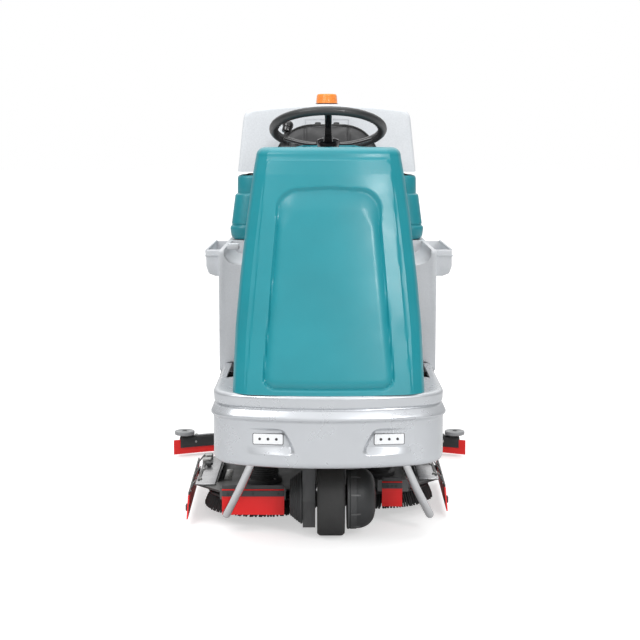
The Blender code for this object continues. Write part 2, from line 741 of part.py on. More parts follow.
def drive_unit(steer, roll):
    """The steered fork with its gear case and motor, and the driven wheel in it."""
    x, y, z = STEER_X, STEER_Y, WHEEL_RADIUS
    turntable = turned(
        "drive_fork", ((0, 0.2335), (0.092, 0.2335), (0.092, 0.2460), (0.070, 0.2460), (0.070, 0.2775), (0, 0.2775)),
        (x, y, 0), (0, 0, 1), "dark_metal", steer, 28,
    )
    leg = prism(
        "fork_leg", ((y - 0.045, 0.240), (y - 0.050, z), (y - 0.026, 0.028), (y + 0.026, 0.028),
                     (y + 0.050, z), (y + 0.045, 0.240)),
        "YZ", x - 0.085, x - 0.047, "dark_metal", steer,
    )
    leg_right = prism(
        "fork_leg_right", ((y - 0.045, 0.240), (y - 0.045, 0.212), (y + 0.045, 0.212), (y + 0.045, 0.240)),
        "YZ", x + 0.047, x + 0.070, "dark_metal", steer,
    )
    unite(turntable, leg, leg_right)
    gear = ((0, 0), (0.078, 0), (0.080, 0.003), (0.074, 0.014), (0.066, 0.026), (0.0565, 0.0385), (0, 0.039))
    turned("drive_gear_case", gear, (x - 0.085 - GAP, y, z), (-1, 0, 0), "dark_metal", steer, 24)
    motor = (
        (0, 0), (0.093, 0), (0.0955, 0.004), (0.0950, 0.030), (0.090, 0.046), (0.080, 0.062), (0.066, 0.076),
        (0.050, 0.086), (0, 0.0885),
    )
    turned("drive_motor", motor, (x + 0.0475, y, z), (1, 0, 0), "dark_metal", steer, 28)
    turned("drive_tyre", tyre_profile(WHEEL_RADIUS, 0.080, 0.0415), (x, y, z), (1, 0, 0), "black_rubber", roll)
    hub = ((0, -0.036), (0.060, -0.036), (0.080 - GAP, -0.030), (0.080 - GAP, 0.030), (0.060, 0.036), (0, 0.036))
    turned("drive_hub", hub, (x, y, z), (1, 0, 0), "steel", roll, ROUND_STEPS)


def rear_wheel(word, side, body):
    centre = (side * REAR_TRACK_HALF, REAR_AXLE_Y, REAR_RADIUS)
    turned(f"rear_tyre_{word}", tyre_profile(REAR_RADIUS, 0.085, 0.033), centre, (1, 0, 0), "black_rubber", body)
    rim = 0.085 - GAP
    hub = (
        (0.0166, -0.034), (0.030, -0.034), (0.032, -0.010), (0.070, -0.012), (rim, -0.028),
        (rim, 0.028), (0.070, 0.012), (0.032, 0.010), (0.030, 0.034), (0.0166, 0.034),
    )
    turned(f"rear_hub_{word}", hub, centre, (1, 0, 0), "steel", body)


# ---- Brush deck ------------------------------------------------------------------------------------------------
def deck_plate(body):
    outline = (
        (-0.415, 0.425), (-0.330, 0.330), (-0.330, 0.2560), (-0.130, 0.2560), (-0.130, 0.350), (-0.085, 0.420),
        (0.115, 0.420), (0.155, 0.375), (0.155, 0.352), (0.250, 0.352), (0.260, 0.400),
        (0.355, 0.500), (0.355, 0.780), (0.260, 0.860), (-0.330, 0.860), (-0.415, 0.780),
    )
    plate = prism("deck_plate", outline, "XY", DECK_LOW, DECK_TOP, "steel", body)
    lips = [
        box("left_lip", (-0.330, 0.2560, DECK_LOW), (-0.130, 0.2615, 0.137), "steel", body),
        box("right_lip", (0.155, 0.3520, DECK_LOW), (0.250, 0.3575, 0.137), "steel", body),
        box("left_rail", (-0.4150, 0.440, DECK_LOW), (-0.4080, 0.770, 0.116), "steel", body),
        box("right_rail", (0.3480, 0.510, DECK_LOW), (0.3550, 0.770, 0.116), "steel", body),
    ]
    post = cylinder("lift_rod", 0.0118, (-0.022, 0.720, 0.103), (-0.022, 0.720, 0.235), "steel", body, 18)
    holes = [
        cylinder(f"shaft_hole_{i}", 0.024, (*centre, 0.05), (*centre, 0.15), "steel", body, 18)
        for i, centre in enumerate((BRUSH_LEFT, BRUSH_RIGHT))
    ]
    return cut(unite(plate, *lips, post), *holes)


def brush_motors(body):
    profile = ((0, 0), (0.062, 0), (0.062, 0.014), (0.050, 0.020), (0.050, 0.108), (0.042, 0.122), (0, 0.126))
    for word, centre in (("left", BRUSH_LEFT), ("right", BRUSH_RIGHT)):
        turned(f"brush_motor_{word}", profile, (*centre, DECK_TOP + GAP), (0, 0, 1), "dark_metal", body, 24)


def brush(word, centre, body):
    """A disc brush: a driver plate with a hub, and a flared ring of bristles under it."""
    profile = (
        (0, 0.0810), (0.080, 0.0810), (0.078, BRUSH_LOW), (BRUSH_RADIUS, BRUSH_LOW), (0.172, 0.0810),
        (0.174, 0.0850), (0.174, 0.0900), (0.060, 0.0950), (0.018, 0.0960), (0.018, 0.1035), (0, 0.1035),
    )
    turned(f"brush_{word}", profile, (*centre, 0), (0, 0, 1), "bristle", body)


def skirts(body):
    for word, x_low, x_high, y in (("left", -0.324, -0.134, 0.2560), ("right", 0.169, 0.232, 0.3520)):
        strip = box(
            f"skirt_{word}", (x_low, y + 0.0005, 0.052), (x_high, y + 0.0050, DECK_LOW - GAP), "red_rubber", body)
        band = box(
            f"skirt_band_{word}", (x_low, y - 0.0050, 0.088), (x_high, y + 0.0020, DECK_LOW - GAP),
            "red_rubber", body)
        unite(strip, band)


SIDE_BLADES = (  # word, direction, top, knee and foot of the strip across x and z, front and back along y
    ("left", -1, (-0.4225, 0.1300), (-0.4300, 0.0950), (-0.4395, 0.0200), 0.316, 0.800),
    ("right", 1, (0.3620, 0.1300), (0.3700, 0.0950), (0.3812, 0.0200), 0.413, 0.850),
)


BLADE_FLARE = 0.022  # outward drift for each metre back


def side_blade(row, body):
    word, sign, top, knee, foot, front, back = row
    thick = 0.004 * sign

    def leaned(name, outline, near, far, material):
        """The outline pulled back, its lower points drifting outwards on the way."""
        rings = []
        for y in (near, far):
            drift = BLADE_FLARE * sign * (y - front)
            rings.append([(x + (drift if z < top[1] - 0.01 else 0), y, z) for x, z in outline])
        return loft(name, rings, material, body)

    holder_outline = (
        (top[0] + thick, top[1]), (top[0], top[1]), (knee[0] - thick * 0.2, 0.0955), (knee[0] + thick, 0.0955),
    )
    holder = leaned(f"side_holder_{word}", holder_outline, front + 0.01, back - 0.01, "steel")
    barrel = cylinder(
        f"side_barrel_{word}", 0.004, (body.pivot.x, front + 0.05, body.pivot.z),
        (body.pivot.x, back - 0.05, body.pivot.z), "steel", body, 10,
    )
    unite(holder, barrel)
    strip = (
        (knee[0] - thick * 0.2, 0.0952), (knee[0] + thick, 0.0952), (foot[0], foot[1]), (foot[0] - thick, foot[1]),
    )
    leaned(f"side_blade_{word}", strip, front, back, "red_rubber")


# ---- Squeegee --------------------------------------------------------------------------------------------------
def squeegee_curve(x):
    """How far back the squeegee lies at a distance x from its middle."""
    return SQUEEGEE_BACK - (SQUEEGEE_BACK - SQUEEGEE_END) * (x / SQUEEGEE_HALF) ** 2


def squeegee_strip(name, half, near, far, low, high, material, body, steps=14):
    """A strip that follows the squeegee's curve, between two offsets from it."""
    xs = [half * (2 * i / steps - 1) for i in range(steps + 1)]
    outline = [(SQUEEGEE_X + x, squeegee_curve(x) + near) for x in xs]
    outline += [(SQUEEGEE_X + x, squeegee_curve(x) + far) for x in reversed(xs)]
    return prism(name, outline, "XY", low, high, material, body)


def squeegee_arm(body):
    y, z = ARM_PIVOT
    side = (
        (y - 0.012, z - 0.006), (y + 0.004, z + 0.013), (SWING_Y + 0.030, 0.128),
        (SWING_Y + 0.030, 0.1180), (SWING_Y - 0.045, 0.1180),
    )
    arm = prism("squeegee_arm", side, "YZ", SQUEEGEE_X - 0.018, SQUEEGEE_X + 0.018, "dark_metal", body)
    barrel = cylinder(
        "arm_barrel", 0.013, (SQUEEGEE_X - 0.043, y, z), (SQUEEGEE_X + 0.043, y, z), "dark_metal", body, 16)
    return unite(arm, barrel)


def squeegee_head(body):
    bar = squeegee_strip("squeegee_bar", 0.530, -0.014, 0.014, 0.0380, 0.0740, "dark_metal", body)
    saddle = box(
        "head_saddle", (SQUEEGEE_X - 0.050, SWING_Y - 0.025, 0.0675), (SQUEEGEE_X + 0.050, 1.380, 0.0790),
        "dark_metal", body,
    )
    post = cylinder(
        "swing_post", 0.020, (SQUEEGEE_X, SWING_Y, 0.070), (SQUEEGEE_X, SWING_Y, 0.118 - GAP), "dark_metal",
        body, 16,
    )
    nozzle = cylinder(
        "suction_nozzle", 0.024, (SQUEEGEE_X, SQUEEGEE_BACK - 0.004, 0.070),
        (SQUEEGEE_X, SQUEEGEE_BACK - 0.004, 0.112), "dark_metal", body, 20,
    )
    bore = cylinder(
        "nozzle_bore", 0.0185, (SQUEEGEE_X, SQUEEGEE_BACK - 0.004, 0.085),
        (SQUEEGEE_X, SQUEEGEE_BACK - 0.004, 0.150), "dark_metal", body, 20,
    )
    mounts = []
    for side in (-1, 1):
        x = SQUEEGEE_X + side * 0.513
        y = squeegee_curve(0.513)
        mounts.append(box(
            f"roller_stand_{side}", (x - 0.016, y - 0.013, 0.0700), (x + 0.016, y + 0.014, 0.0815),
            "dark_metal", body,
        ))
        caster_x = SQUEEGEE_X + side * 0.300
        y = squeegee_curve(0.300)
        leg = (
            (y - 0.004, 0.042), (y - 0.004, 0.060), (y + 0.040, 0.060), (y + 0.056, 0.040),
            (y + 0.056, 0.022), (y + 0.040, 0.022), (y + 0.030, 0.042),
        )
        mounts.append(prism(f"caster_leg_{side}", leg, "YZ", caster_x - 0.020, caster_x - 0.014, "dark_metal", body))
        mounts.append(cylinder(
            f"caster_pin_{side}", 0.004, (caster_x - 0.015, y + CASTER_BEHIND, CASTER_Z),
            (caster_x + 0.012, y + CASTER_BEHIND, CASTER_Z), "dark_metal", body, 12,
        ))
    cut(unite(bar, saddle, post, nozzle, *mounts), bore)
    squeegee_strip("squeegee_blade_front", SQUEEGEE_HALF, -0.0200, -0.0158, 0.0120, 0.0670, "red_rubber", body)
    squeegee_strip("squeegee_blade_rear", 0.541, 0.0158, 0.0200, 0.0040, 0.0340, "red_rubber", body)


def squeegee_roller(word, body):
    profile = (
        (0, 0), (0.0300, 0), (0.0375, 0.002), (0.0375, 0.010), (0.0300, 0.012), (0.009, 0.012),
        (0.009, 0.017), (0, 0.017),
    )
    turned(f"squeegee_roller_{word}", profile, body.pivot, (0, 0, 1), "dark_plastic", body, 20)


def caster_wheel(word, body):
    profile = ((0.0044, -0.009), (0.023, -0.009), (0.026, -0.006), (0.026, 0.006), (0.023, 0.009), (0.0044, 0.009))
    turned(f"squeegee_caster_{word}", profile, body.pivot, (1, 0, 0), "black_rubber", body, 20)


# ---- Caps --------------------------------------------------------------------------------------------------------
def caps(filler, drain):
    knob = ((0, 0), (0.036, 0), (0.038, 0.003), (0.038, 0.015), (0.034, CAP_DEPTH), (0, CAP_DEPTH))
    turned("filler_cap", knob, filler.pivot, (0, 1, 0), "dark_plastic", filler, 20)
    plug = ((0, 0), (0.024, 0), (0.026, 0.003), (0.026, 0.016), (0.022, CAP_DEPTH), (0, CAP_DEPTH))
    turned("drain_cap", plug, drain.pivot, (0, 1, 0), "dark_plastic", drain, 18)


def build():
    clear_scene()
    chassis = Body("machine", (0, 0, 0))
    bumper_shell(chassis)
    headlights(chassis)
    front_cover(chassis)
    console(chassis)
    steering_column(chassis)
    platform(chassis)
    step_blocks(chassis)
    chassis_frame(chassis)
    lift_sleeve(chassis)
    guard_tubes(chassis)
    rear_axle(chassis)
    solution_tank(chassis)
    tank_contents(chassis)
    recovery_tank(chassis)

    steering_wheel(Body("steering_wheel_joint", column_point(0), chassis))
    direction_lever(Body("direction_lever_joint", column_point(0.084) + Vector((-0.0290, 0, 0)), chassis))
    dash_controls(
        Body("key_joint", dash_point(0.085, 0.5), chassis),
        Body("emergency_stop_joint", dash_point(-0.120, 0.5), chassis),
        Body("horn_joint", dash_point(-0.065, 0.5), chassis),
    )
    pedal("accelerator_pedal", Body("accelerator_joint", (-0.150, 0.440, 0.3965), chassis), 0.040, "dark_metal")
    pedal("brake_pedal", Body("brake_joint", (-0.030, 0.440, 0.3965), chassis), 0.032, "dark_metal")
    seat(Body("seat_joint", (0, *SEAT_PIVOT), chassis))
    lid = Body("lid_joint", (0, 1.410, 1.0750), chassis)
    tank_lid(lid)
    beacon(lid)

    steer = Body("steer_joint", (STEER_X, STEER_Y, 0.2775), chassis)
    drive_unit(steer, Body("drive_wheel_joint", (STEER_X, STEER_Y, WHEEL_RADIUS), steer))
    for side, word in ((-1, "left"), (1, "right")):
        pivot = (side * REAR_TRACK_HALF, REAR_AXLE_Y, REAR_RADIUS)
        rear_wheel(word, side, Body(f"rear_wheel_{word}_joint", pivot, chassis))

    deck = Body("deck_joint", (-0.022, 0.720, DECK_TOP), chassis)
    deck_plate(deck)
    brush_motors(deck)
    skirts(deck)
    for word, centre in (("left", BRUSH_LEFT), ("right", BRUSH_RIGHT)):
        brush(word, centre, Body(f"brush_{word}_joint", (*centre, 0.0960), deck))
    for row in SIDE_BLADES:
        word, sign, top = row[0], row[1], row[2]
        side_blade(row, Body(f"side_blade_{word}_joint", (top[0] - sign * 0.0005, row[5], 0.1260), deck))

    arm = Body("squeegee_lift_joint", (SQUEEGEE_X, *ARM_PIVOT), chassis)
    squeegee_arm(arm)
    head = Body("squeegee_swing_joint", (SQUEEGEE_X, SWING_Y, 0.1180), arm)
    squeegee_head(head)
    for side, word in ((-1, "left"), (1, "right")):
        x = SQUEEGEE_X + side * 0.513
        squeegee_roller(word, Body(f"roller_{word}_joint", (x, squeegee_curve(0.513), 0.0820), head))
        x = SQUEEGEE_X + side * 0.300
        caster = Body(f"caster_{word}_joint", (x, squeegee_curve(0.300) + CASTER_BEHIND, CASTER_Z), head)
        caster_wheel(word, caster)

    filler = Body("filler_joint", FILLER, chassis)
    drain = Body("drain_joint", DRAIN, chassis)
    caps(filler, drain)


build()
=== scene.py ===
"""The ride-on scrubber's finish: detailed pieces, materials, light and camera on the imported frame."""
import math
import random

import bmesh
import bpy
import numpy as np
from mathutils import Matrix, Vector


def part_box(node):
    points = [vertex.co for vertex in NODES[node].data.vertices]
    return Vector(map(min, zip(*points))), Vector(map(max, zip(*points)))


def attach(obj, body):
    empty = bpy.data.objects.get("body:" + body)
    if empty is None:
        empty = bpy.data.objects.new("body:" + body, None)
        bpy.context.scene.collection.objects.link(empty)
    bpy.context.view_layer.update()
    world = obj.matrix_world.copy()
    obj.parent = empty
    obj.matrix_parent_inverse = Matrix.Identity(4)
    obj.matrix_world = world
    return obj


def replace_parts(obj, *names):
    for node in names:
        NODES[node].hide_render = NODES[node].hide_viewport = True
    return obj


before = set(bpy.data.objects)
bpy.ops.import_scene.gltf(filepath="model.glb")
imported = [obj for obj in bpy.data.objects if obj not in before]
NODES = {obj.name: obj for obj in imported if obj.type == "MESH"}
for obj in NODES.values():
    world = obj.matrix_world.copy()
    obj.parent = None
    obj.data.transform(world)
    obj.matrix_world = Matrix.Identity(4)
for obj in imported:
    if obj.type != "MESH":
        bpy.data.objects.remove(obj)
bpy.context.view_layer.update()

# ---- Frame points --------------------------------------------------------------------------------
BUMPER_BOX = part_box("bumper_shell")
RIB_PROUD = 0.0065
ORIGIN = Vector(((BUMPER_BOX[0].x + BUMPER_BOX[1].x) / 2, BUMPER_BOX[0].y + RIB_PROUD, 0.0))


def at(x, y, z):
    """A point given across from the body's middle, back from the bumper's face and up."""
    return Vector((ORIGIN.x + x, ORIGIN.y + y, z))


def middle(node):
    low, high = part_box(node)
    return (low + high) / 2


# ---- Materials -----------------------------------------------------------------------------------
WHITE = (1, 1, 1)
DUST_RGB = (176, 172, 164)


def linear(rgb):
    return tuple((c / 255 / 12.92) if c <= 10 else ((c / 255 + 0.055) / 1.055) ** 2.4 for c in rgb)


def shaded(colour, factor):
    return (*[min(1.0, c * factor) for c in colour], 1.0)


def added(nodes, kind, **values):
    """A shader node with its sockets set; an underscore in a socket's name stands for a space."""
    node = nodes.new(f"ShaderNode{kind}")
    for socket, value in values.items():
        node.inputs[socket.replace("_", " ")].default_value = value
    return node


def ramped(nodes, links, source, places, colours):
    """A socket's value turned into a blend from one colour to another."""
    ramp = added(nodes, "ValToRGB")
    for element, place, colour in zip(ramp.color_ramp.elements, places, colours):
        element.position = place
        element.color = colour
    links.new(source, ramp.inputs["Fac"])
    return ramp.outputs["Color"]


def surface(name, rgb, roughness, metallic=0.0, grain=420.0, depth=0.12, mottle=0.06, patch=6.0,
            stretch=(1, 1, 1), cells=False, wear=0.0, wear_rgb=(220, 220, 220), dust=0.0, coat=0.0,
            speckle=0.0):
    """A finish with mottled colour, uneven gloss, a fine grain, worn edges and some dust."""
    material = bpy.data.materials.new(name)
    material.use_nodes = True
    nodes, links = material.node_tree.nodes, material.node_tree.links
    shader = nodes["Principled BSDF"]
    shader.inputs["Metallic"].default_value = metallic
    shader.inputs["Coat Weight"].default_value = coat
    shader.inputs["Coat Roughness"].default_value = 0.12
    colour = linear(rgb)
    coords = added(nodes, "TexCoord")
    mapping = added(nodes, "Mapping", Scale=stretch)
    links.new(coords.outputs["Object"], mapping.inputs["Vector"])
    broad = added(nodes, "TexNoise", Scale=patch, Detail=6.0)
    links.new(mapping.outputs["Vector"], broad.inputs["Vector"])
    tones = (shaded(colour, 1 - mottle), shaded(colour, 1 + mottle))
    last = ramped(nodes, links, broad.outputs["Fac"], (0.32, 0.68), tones)
    fine = added(nodes, "TexVoronoi" if cells else "TexNoise", Scale=grain)
    links.new(mapping.outputs["Vector"], fine.inputs["Vector"])
    height = fine.outputs["Distance" if cells else "Fac"]
    if speckle:
        spots = added(nodes, "TexNoise", Scale=260.0, Detail=2.0)
        links.new(coords.outputs["Object"], spots.inputs["Vector"])
        spotted = ramped(nodes, links, spots.outputs["Fac"], (0.35, 0.62),
                         (shaded(WHITE, 1 - speckle), (*WHITE, 1)))
        last = mixed(nodes, links, last, spotted, None, 1.0, "MULTIPLY")
    if wear:
        geometry = added(nodes, "NewGeometry")
        edge = ramped(nodes, links, geometry.outputs["Pointiness"], (0.52, 0.62),
                      ((0, 0, 0, 1), shaded(WHITE, wear)))
        last = mixed(nodes, links, last, None, edge, 0.0, "MIX", linear(wear_rgb))
    if dust:
        geometry = added(nodes, "NewGeometry")
        split = added(nodes, "SeparateXYZ")
        links.new(geometry.outputs["Normal"], split.inputs["Vector"])
        lying = added(nodes, "MapRange", From_Min=0.55, From_Max=1.0, To_Max=dust)
        links.new(split.outputs["Z"], lying.inputs["Value"])
        last = mixed(nodes, links, last, None, lying.outputs["Result"], 0.0, "MIX", linear(DUST_RGB))
    links.new(last, shader.inputs["Base Color"])
    gloss = added(nodes, "TexNoise", Scale=patch * 3, Detail=5.0)
    links.new(mapping.outputs["Vector"], gloss.inputs["Vector"])
    spread = added(nodes, "MapRange", From_Min=0.3, From_Max=0.7, To_Min=max(0.03, roughness - 0.06),
                   To_Max=min(1.0, roughness + 0.07))
    links.new(gloss.outputs["Fac"], spread.inputs["Value"])
    links.new(spread.outputs["Result"], shader.inputs["Roughness"])
    bump = added(nodes, "Bump", Strength=depth, Distance=0.001)
    links.new(height, bump.inputs["Height"])
    links.new(bump.outputs["Normal"], shader.inputs["Normal"])
    return material


def mixed(nodes, links, first, second, factor, amount, mode, second_colour=None):
    """Mix a colour with another colour or socket, by an amount or a factor socket."""
    mix = nodes.new("ShaderNodeMix")
    mix.data_type = "RGBA"
    mix.blend_type = mode
    mix.inputs["Factor"].default_value = amount
    if factor is not None:
        links.new(factor, mix.inputs["Factor"])
    links.new(first, mix.inputs[6])
    if second is not None:
        links.new(second, mix.inputs[7])
    else:
        mix.inputs[7].default_value = (*second_colour, 1.0)
    return mix.outputs[2]


FINISH = {
    "teal": surface("teal_shell", (24, 136, 148), 0.36, grain=520, depth=0.10, mottle=0.05, dust=0.05,
                    wear=0.12, wear_rgb=(150, 205, 212), coat=0.12),
    "silver": surface("silver_paint_coat", (196, 199, 203), 0.30, metallic=0.55, grain=240, depth=0.015,
                      mottle=0.02, coat=0.2, dust=0.06),
    "tank": surface("tank_moulding", (200, 203, 207), 0.5, grain=300, depth=0.25, mottle=0.05, wear=0.2,
                    dust=0.06, speckle=0.05),
    "lid": surface("lid_moulding", (222, 226, 230), 0.42, grain=260, depth=0.28, mottle=0.03,
                   speckle=0.06),
    "dark": surface("dark_moulding", (50, 51, 52), 0.5, grain=520, depth=0.3, mottle=0.14, cells=True,
                    wear=0.12, wear_rgb=(120, 120, 120), dust=0.05),
    "gloss": surface("gloss_black", (24, 24, 26), 0.18, grain=300, depth=0.04, mottle=0.15, coat=0.5),
    "rubber": surface("block_rubber", (44, 44, 44), 0.72, grain=380, depth=0.35, mottle=0.12, cells=True,
                      dust=0.16),
    "tyre": surface("tyre_rubber", (46, 46, 46), 0.66, grain=300, depth=0.3, mottle=0.14, dust=0.12,
                    wear=0.2, wear_rgb=(112, 110, 106)),
    "red": surface("squeegee_rubber", (253, 26, 28), 0.46, grain=240, depth=0.16, mottle=0.08, wear=0.1,
                   wear_rgb=(240, 110, 100)),
    "steel": surface("brushed_steel", (178, 178, 180), 0.30, metallic=0.9, grain=260, depth=0.10,
                     mottle=0.07, stretch=(1, 9, 9), wear=0.1, dust=0.05),
    "paint": surface("frame_paint", (58, 59, 61), 0.46, metallic=0.2, grain=420, depth=0.22, mottle=0.12,
                     wear=0.35, wear_rgb=(140, 140, 140), dust=0.1),
    "cast": surface("cast_housing", (56, 57, 58), 0.5, metallic=0.35, grain=340, depth=0.5, mottle=0.14,
                    wear=0.35, wear_rgb=(150, 150, 150), dust=0.08),
    "vinyl": surface("seat_vinyl", (62, 62, 63), 0.44, grain=330, depth=0.45, mottle=0.09, cells=True,
                     wear=0.08, wear_rgb=(110, 110, 110)),
    "bristle": surface("brush_bristle", (38, 38, 39), 0.55, grain=300, depth=0.3, mottle=0.25, patch=90,
                       stretch=(1, 1, 0.1)),
    "amber": surface("amber_lens", (252, 140, 40), 0.16, grain=90, depth=0.08, mottle=0.10, patch=30,
                     coat=0.6),
    "lens": surface("white_panel", (236, 238, 240), 0.22, grain=160, depth=0.06, mottle=0.03, coat=0.5),
    "signal": surface("signal_red_knob", (196, 26, 24), 0.28, grain=300, depth=0.08, mottle=0.08,
                      coat=0.3),
    "grip": surface("rim_grip", (46, 47, 48), 0.36, grain=620, depth=0.3, mottle=0.1, cells=True,
                    coat=0.15),
    "pale": surface("pale_moulding", (150, 152, 154), 0.45, grain=360, depth=0.2, mottle=0.06, dust=0.08),
    "bright": surface("polished_tube", (212, 213, 215), 0.14, metallic=1.0, grain=120, depth=0.03,
                      mottle=0.03),
    "zinc": surface("zinc_plate", (168, 168, 166), 0.3, metallic=0.9, grain=180, depth=0.1, mottle=0.12,
                    patch=40),
}


# ---- Shape tools ---------------------------------------------------------------------------------
SIDES = ((-1, "left"), (1, "right"))
PLANES = {"XY": (0, 1, 2), "XZ": (0, 2, 1), "YZ": (1, 2, 0)}


def piece(name, bm, body, finish, angle=35.0):
    """A mesh piece that rides on a body."""
    bmesh.ops.recalc_face_normals(bm, faces=bm.faces)
    mesh = bpy.data.meshes.new(name)
    bm.to_mesh(mesh)
    bm.free()
    mesh.shade_smooth()
    mesh.set_sharp_from_angle(angle=math.radians(angle))
    mesh.materials.append(FINISH[finish])
    obj = bpy.data.objects.new(name, mesh)
    bpy.context.scene.collection.objects.link(obj)
    if body:
        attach(obj, body)
    return obj


def rings_mesh(rings):
    """A closed mesh through rings of points, with flat ends."""
    bm = bmesh.new()
    made = [[bm.verts.new(p) for p in ring] for ring in rings]
    count = len(made[0])
    for lower, upper in zip(made, made[1:]):
        for i in range(count):
            j = (i + 1) % count
            bm.faces.new((lower[i], lower[j], upper[j], upper[i]))
    bm.faces.new(made[0])
    bm.faces.new(made[-1])
    return bm


def lift(point, plane, level):
    across, up, normal = PLANES[plane]
    place = [0.0, 0.0, 0.0]
    place[across], place[up], place[normal] = point[0], point[1], level
    return at(*place)


def prism(name, outline, plane, low, high, body, finish, edge=0.0, segments=3):
    """An outline pulled between two levels, in the machine's own measures, with rounded edges."""
    bm = rings_mesh([[lift(p, plane, level) for p in outline] for level in (low, high)])
    obj = piece(name, bm, body, finish)
    return rounded_edges(obj, edge, segments) if edge else obj


def oblong(x0, y0, x1, y1):
    return ((x0, y0), (x1, y0), (x1, y1), (x0, y1))


def block(name, low, high, body, finish, edge=0.002, segments=3):
    outline = oblong(low[0], low[1], high[0], high[1])
    return prism(name, outline, "XY", low[2], high[2], body, finish, edge, segments)


def applied(obj):
    """The object with its modifiers made part of its mesh."""
    graph = bpy.context.evaluated_depsgraph_get()
    mesh = bpy.data.meshes.new_from_object(obj.evaluated_get(graph))
    obj.modifiers.clear()
    obj.data = mesh
    return obj


def rounded_edges(obj, width, segments=3, limit=32.0):
    bevel = obj.modifiers.new("round", "BEVEL")
    bevel.width = width
    bevel.segments = segments
    bevel.limit_method = "ANGLE"
    bevel.angle_limit = math.radians(limit)
    bevel.use_clamp_overlap = True
    obj = applied(obj)
    obj.data.shade_smooth()
    obj.data.set_sharp_from_angle(angle=math.radians(38))
    return obj


def combined(obj, helpers, operation="DIFFERENCE"):
    for helper in helpers:
        step = obj.modifiers.new(helper.name, "BOOLEAN")
        step.operation = operation
        step.object = helper
        applied(obj)
        bpy.data.objects.remove(helper)
    obj.data.shade_smooth()
    obj.data.set_sharp_from_angle(angle=math.radians(35))
    return obj


def angles(count, shift=0.0):
    """Evenly spaced angles round a full turn."""
    return [math.tau * (i + shift) / count for i in range(count)]


def spin_mesh(profile, steps):
    """A profile of (radius, along) points turned about the z axis."""
    bm = bmesh.new()
    rows = []
    for radius, along in profile:
        if radius < 1e-6:
            rows.append([bm.verts.new((0, 0, along))])
            continue
        rows.append([
            bm.verts.new((radius * math.cos(a), radius * math.sin(a), along))
            for a in (math.tau * i / steps for i in range(steps))
        ])
    pairs = list(zip(rows, rows[1:]))
    if len(rows[0]) > 1:
        pairs.append((rows[-1], rows[0]))
    for one, two in pairs:
        for i in range(steps):
            j = (i + 1) % steps
            corners = [one[i % len(one)], one[j % len(one)], two[j % len(two)], two[i % len(two)]]
            distinct = list(dict.fromkeys(corners))
            if len(distinct) > 2:
                bm.faces.new(distinct)
    return bm


def evened(half):
    """A profile of (radius, along) points followed by its mirror image."""
    return [*half, *[(radius, -along) for radius, along in reversed(half)]]


def aim(bm, centre, axis):
    turn = Vector((0, 0, 1)).rotation_difference(Vector(axis)).to_matrix()
    bmesh.ops.rotate(bm, verts=bm.verts, cent=(0, 0, 0), matrix=turn)
    bmesh.ops.translate(bm, vec=Vector(centre), verts=bm.verts)
    return bm


def turned(name, profile, centre, axis, body, finish, steps=64, angle=35.0, edge=0.0):
    obj = piece(name, aim(spin_mesh(profile, steps), centre, axis), body, finish, angle)
    return rounded_edges(obj, edge, 2) if edge else obj


def bend(start, corner, end, t):
    """A point on a curve from start to end that leans towards a corner."""
    return start * (1 - t) ** 2 + corner * 2 * t * (1 - t) + end * t**2


def eased(points, radius, steps=6):
    path = [Vector(points[0])]
    for before, corner, after in zip(points, points[1:], points[2:]):
        corner = Vector(corner)
        start = corner + (Vector(before) - corner).normalized() * radius
        end = corner + (Vector(after) - corner).normalized() * radius
        for i in range(steps + 1):
            t = i / steps
            path.append(bend(start, corner, end, t))
    path.append(Vector(points[-1]))
    return path


def tube(name, points, radius, body, finish, closed=False, resolution=6):
    """A round bar along a path, with domed ends."""
    curve = bpy.data.curves.new(name, "CURVE")
    curve.dimensions = "3D"
    stops = [(Vector(p), 1.0) for p in points]
    if not closed:
        for end, inner in ((0, 1), (-1, -2)):
            out = (stops[end][0] - stops[inner][0]).normalized()
            tip = stops[end][0]
            dome = [(tip - out * radius * (1 - math.sin(a)), math.cos(a))
                    for a in (0.0, 0.5, 0.9, 1.2, 1.45)]
            stops = stops[:-1] + dome if end == -1 else dome[::-1] + stops[1:]
    spline = curve.splines.new("POLY")
    spline.points.add(len(stops) - 1)
    for point, (place, size) in zip(spline.points, stops):
        point.co = (*place, 1)
        point.radius = size
    spline.use_cyclic_u = closed
    curve.bevel_depth = radius
    curve.bevel_resolution = resolution
    curve.use_fill_caps = not closed
    helper = bpy.data.objects.new(name + "_path", curve)
    bpy.context.scene.collection.objects.link(helper)
    graph = bpy.context.evaluated_depsgraph_get()
    mesh = bpy.data.meshes.new_from_object(helper.evaluated_get(graph))
    bpy.data.objects.remove(helper)
    bm = bmesh.new()
    bm.from_mesh(mesh)
    bmesh.ops.remove_doubles(bm, verts=bm.verts, dist=1e-6)
    return piece(name, bm, body, finish, 60.0)


def joined(name, bodies_bm, body, finish, angle=35.0):
    """Several meshes as one piece."""
    whole = bmesh.new()
    for bm in bodies_bm:
        mesh = bpy.data.meshes.new("part")
        bmesh.ops.recalc_face_normals(bm, faces=bm.faces)
        bm.to_mesh(mesh)
        bm.free()
        whole.from_mesh(mesh)
        bpy.data.meshes.remove(mesh)
    return piece(name, whole, body, finish, angle)


def fasteners(name, places, size, body, finish="zinc"):
    """Hexagon bolt heads on washers; each place is a point and an outward direction."""
    made = []
    for point, direction in places:
        washer = ((0, 0), (size * 1.25, 0), (size * 1.25, size * 0.16), (size * 1.05, size * 0.24),
                  (0, size * 0.24))
        made.append(aim(spin_mesh(washer, 20), point, direction))
        head = ((0, size * 0.2), (size * 0.92, size * 0.2), (size * 0.92, size * 0.72),
                (size * 0.78, size * 0.86), (0, size * 0.9))
        made.append(aim(spin_mesh(head, 6), point, direction))
    return joined(name, made, body, finish, 25.0)


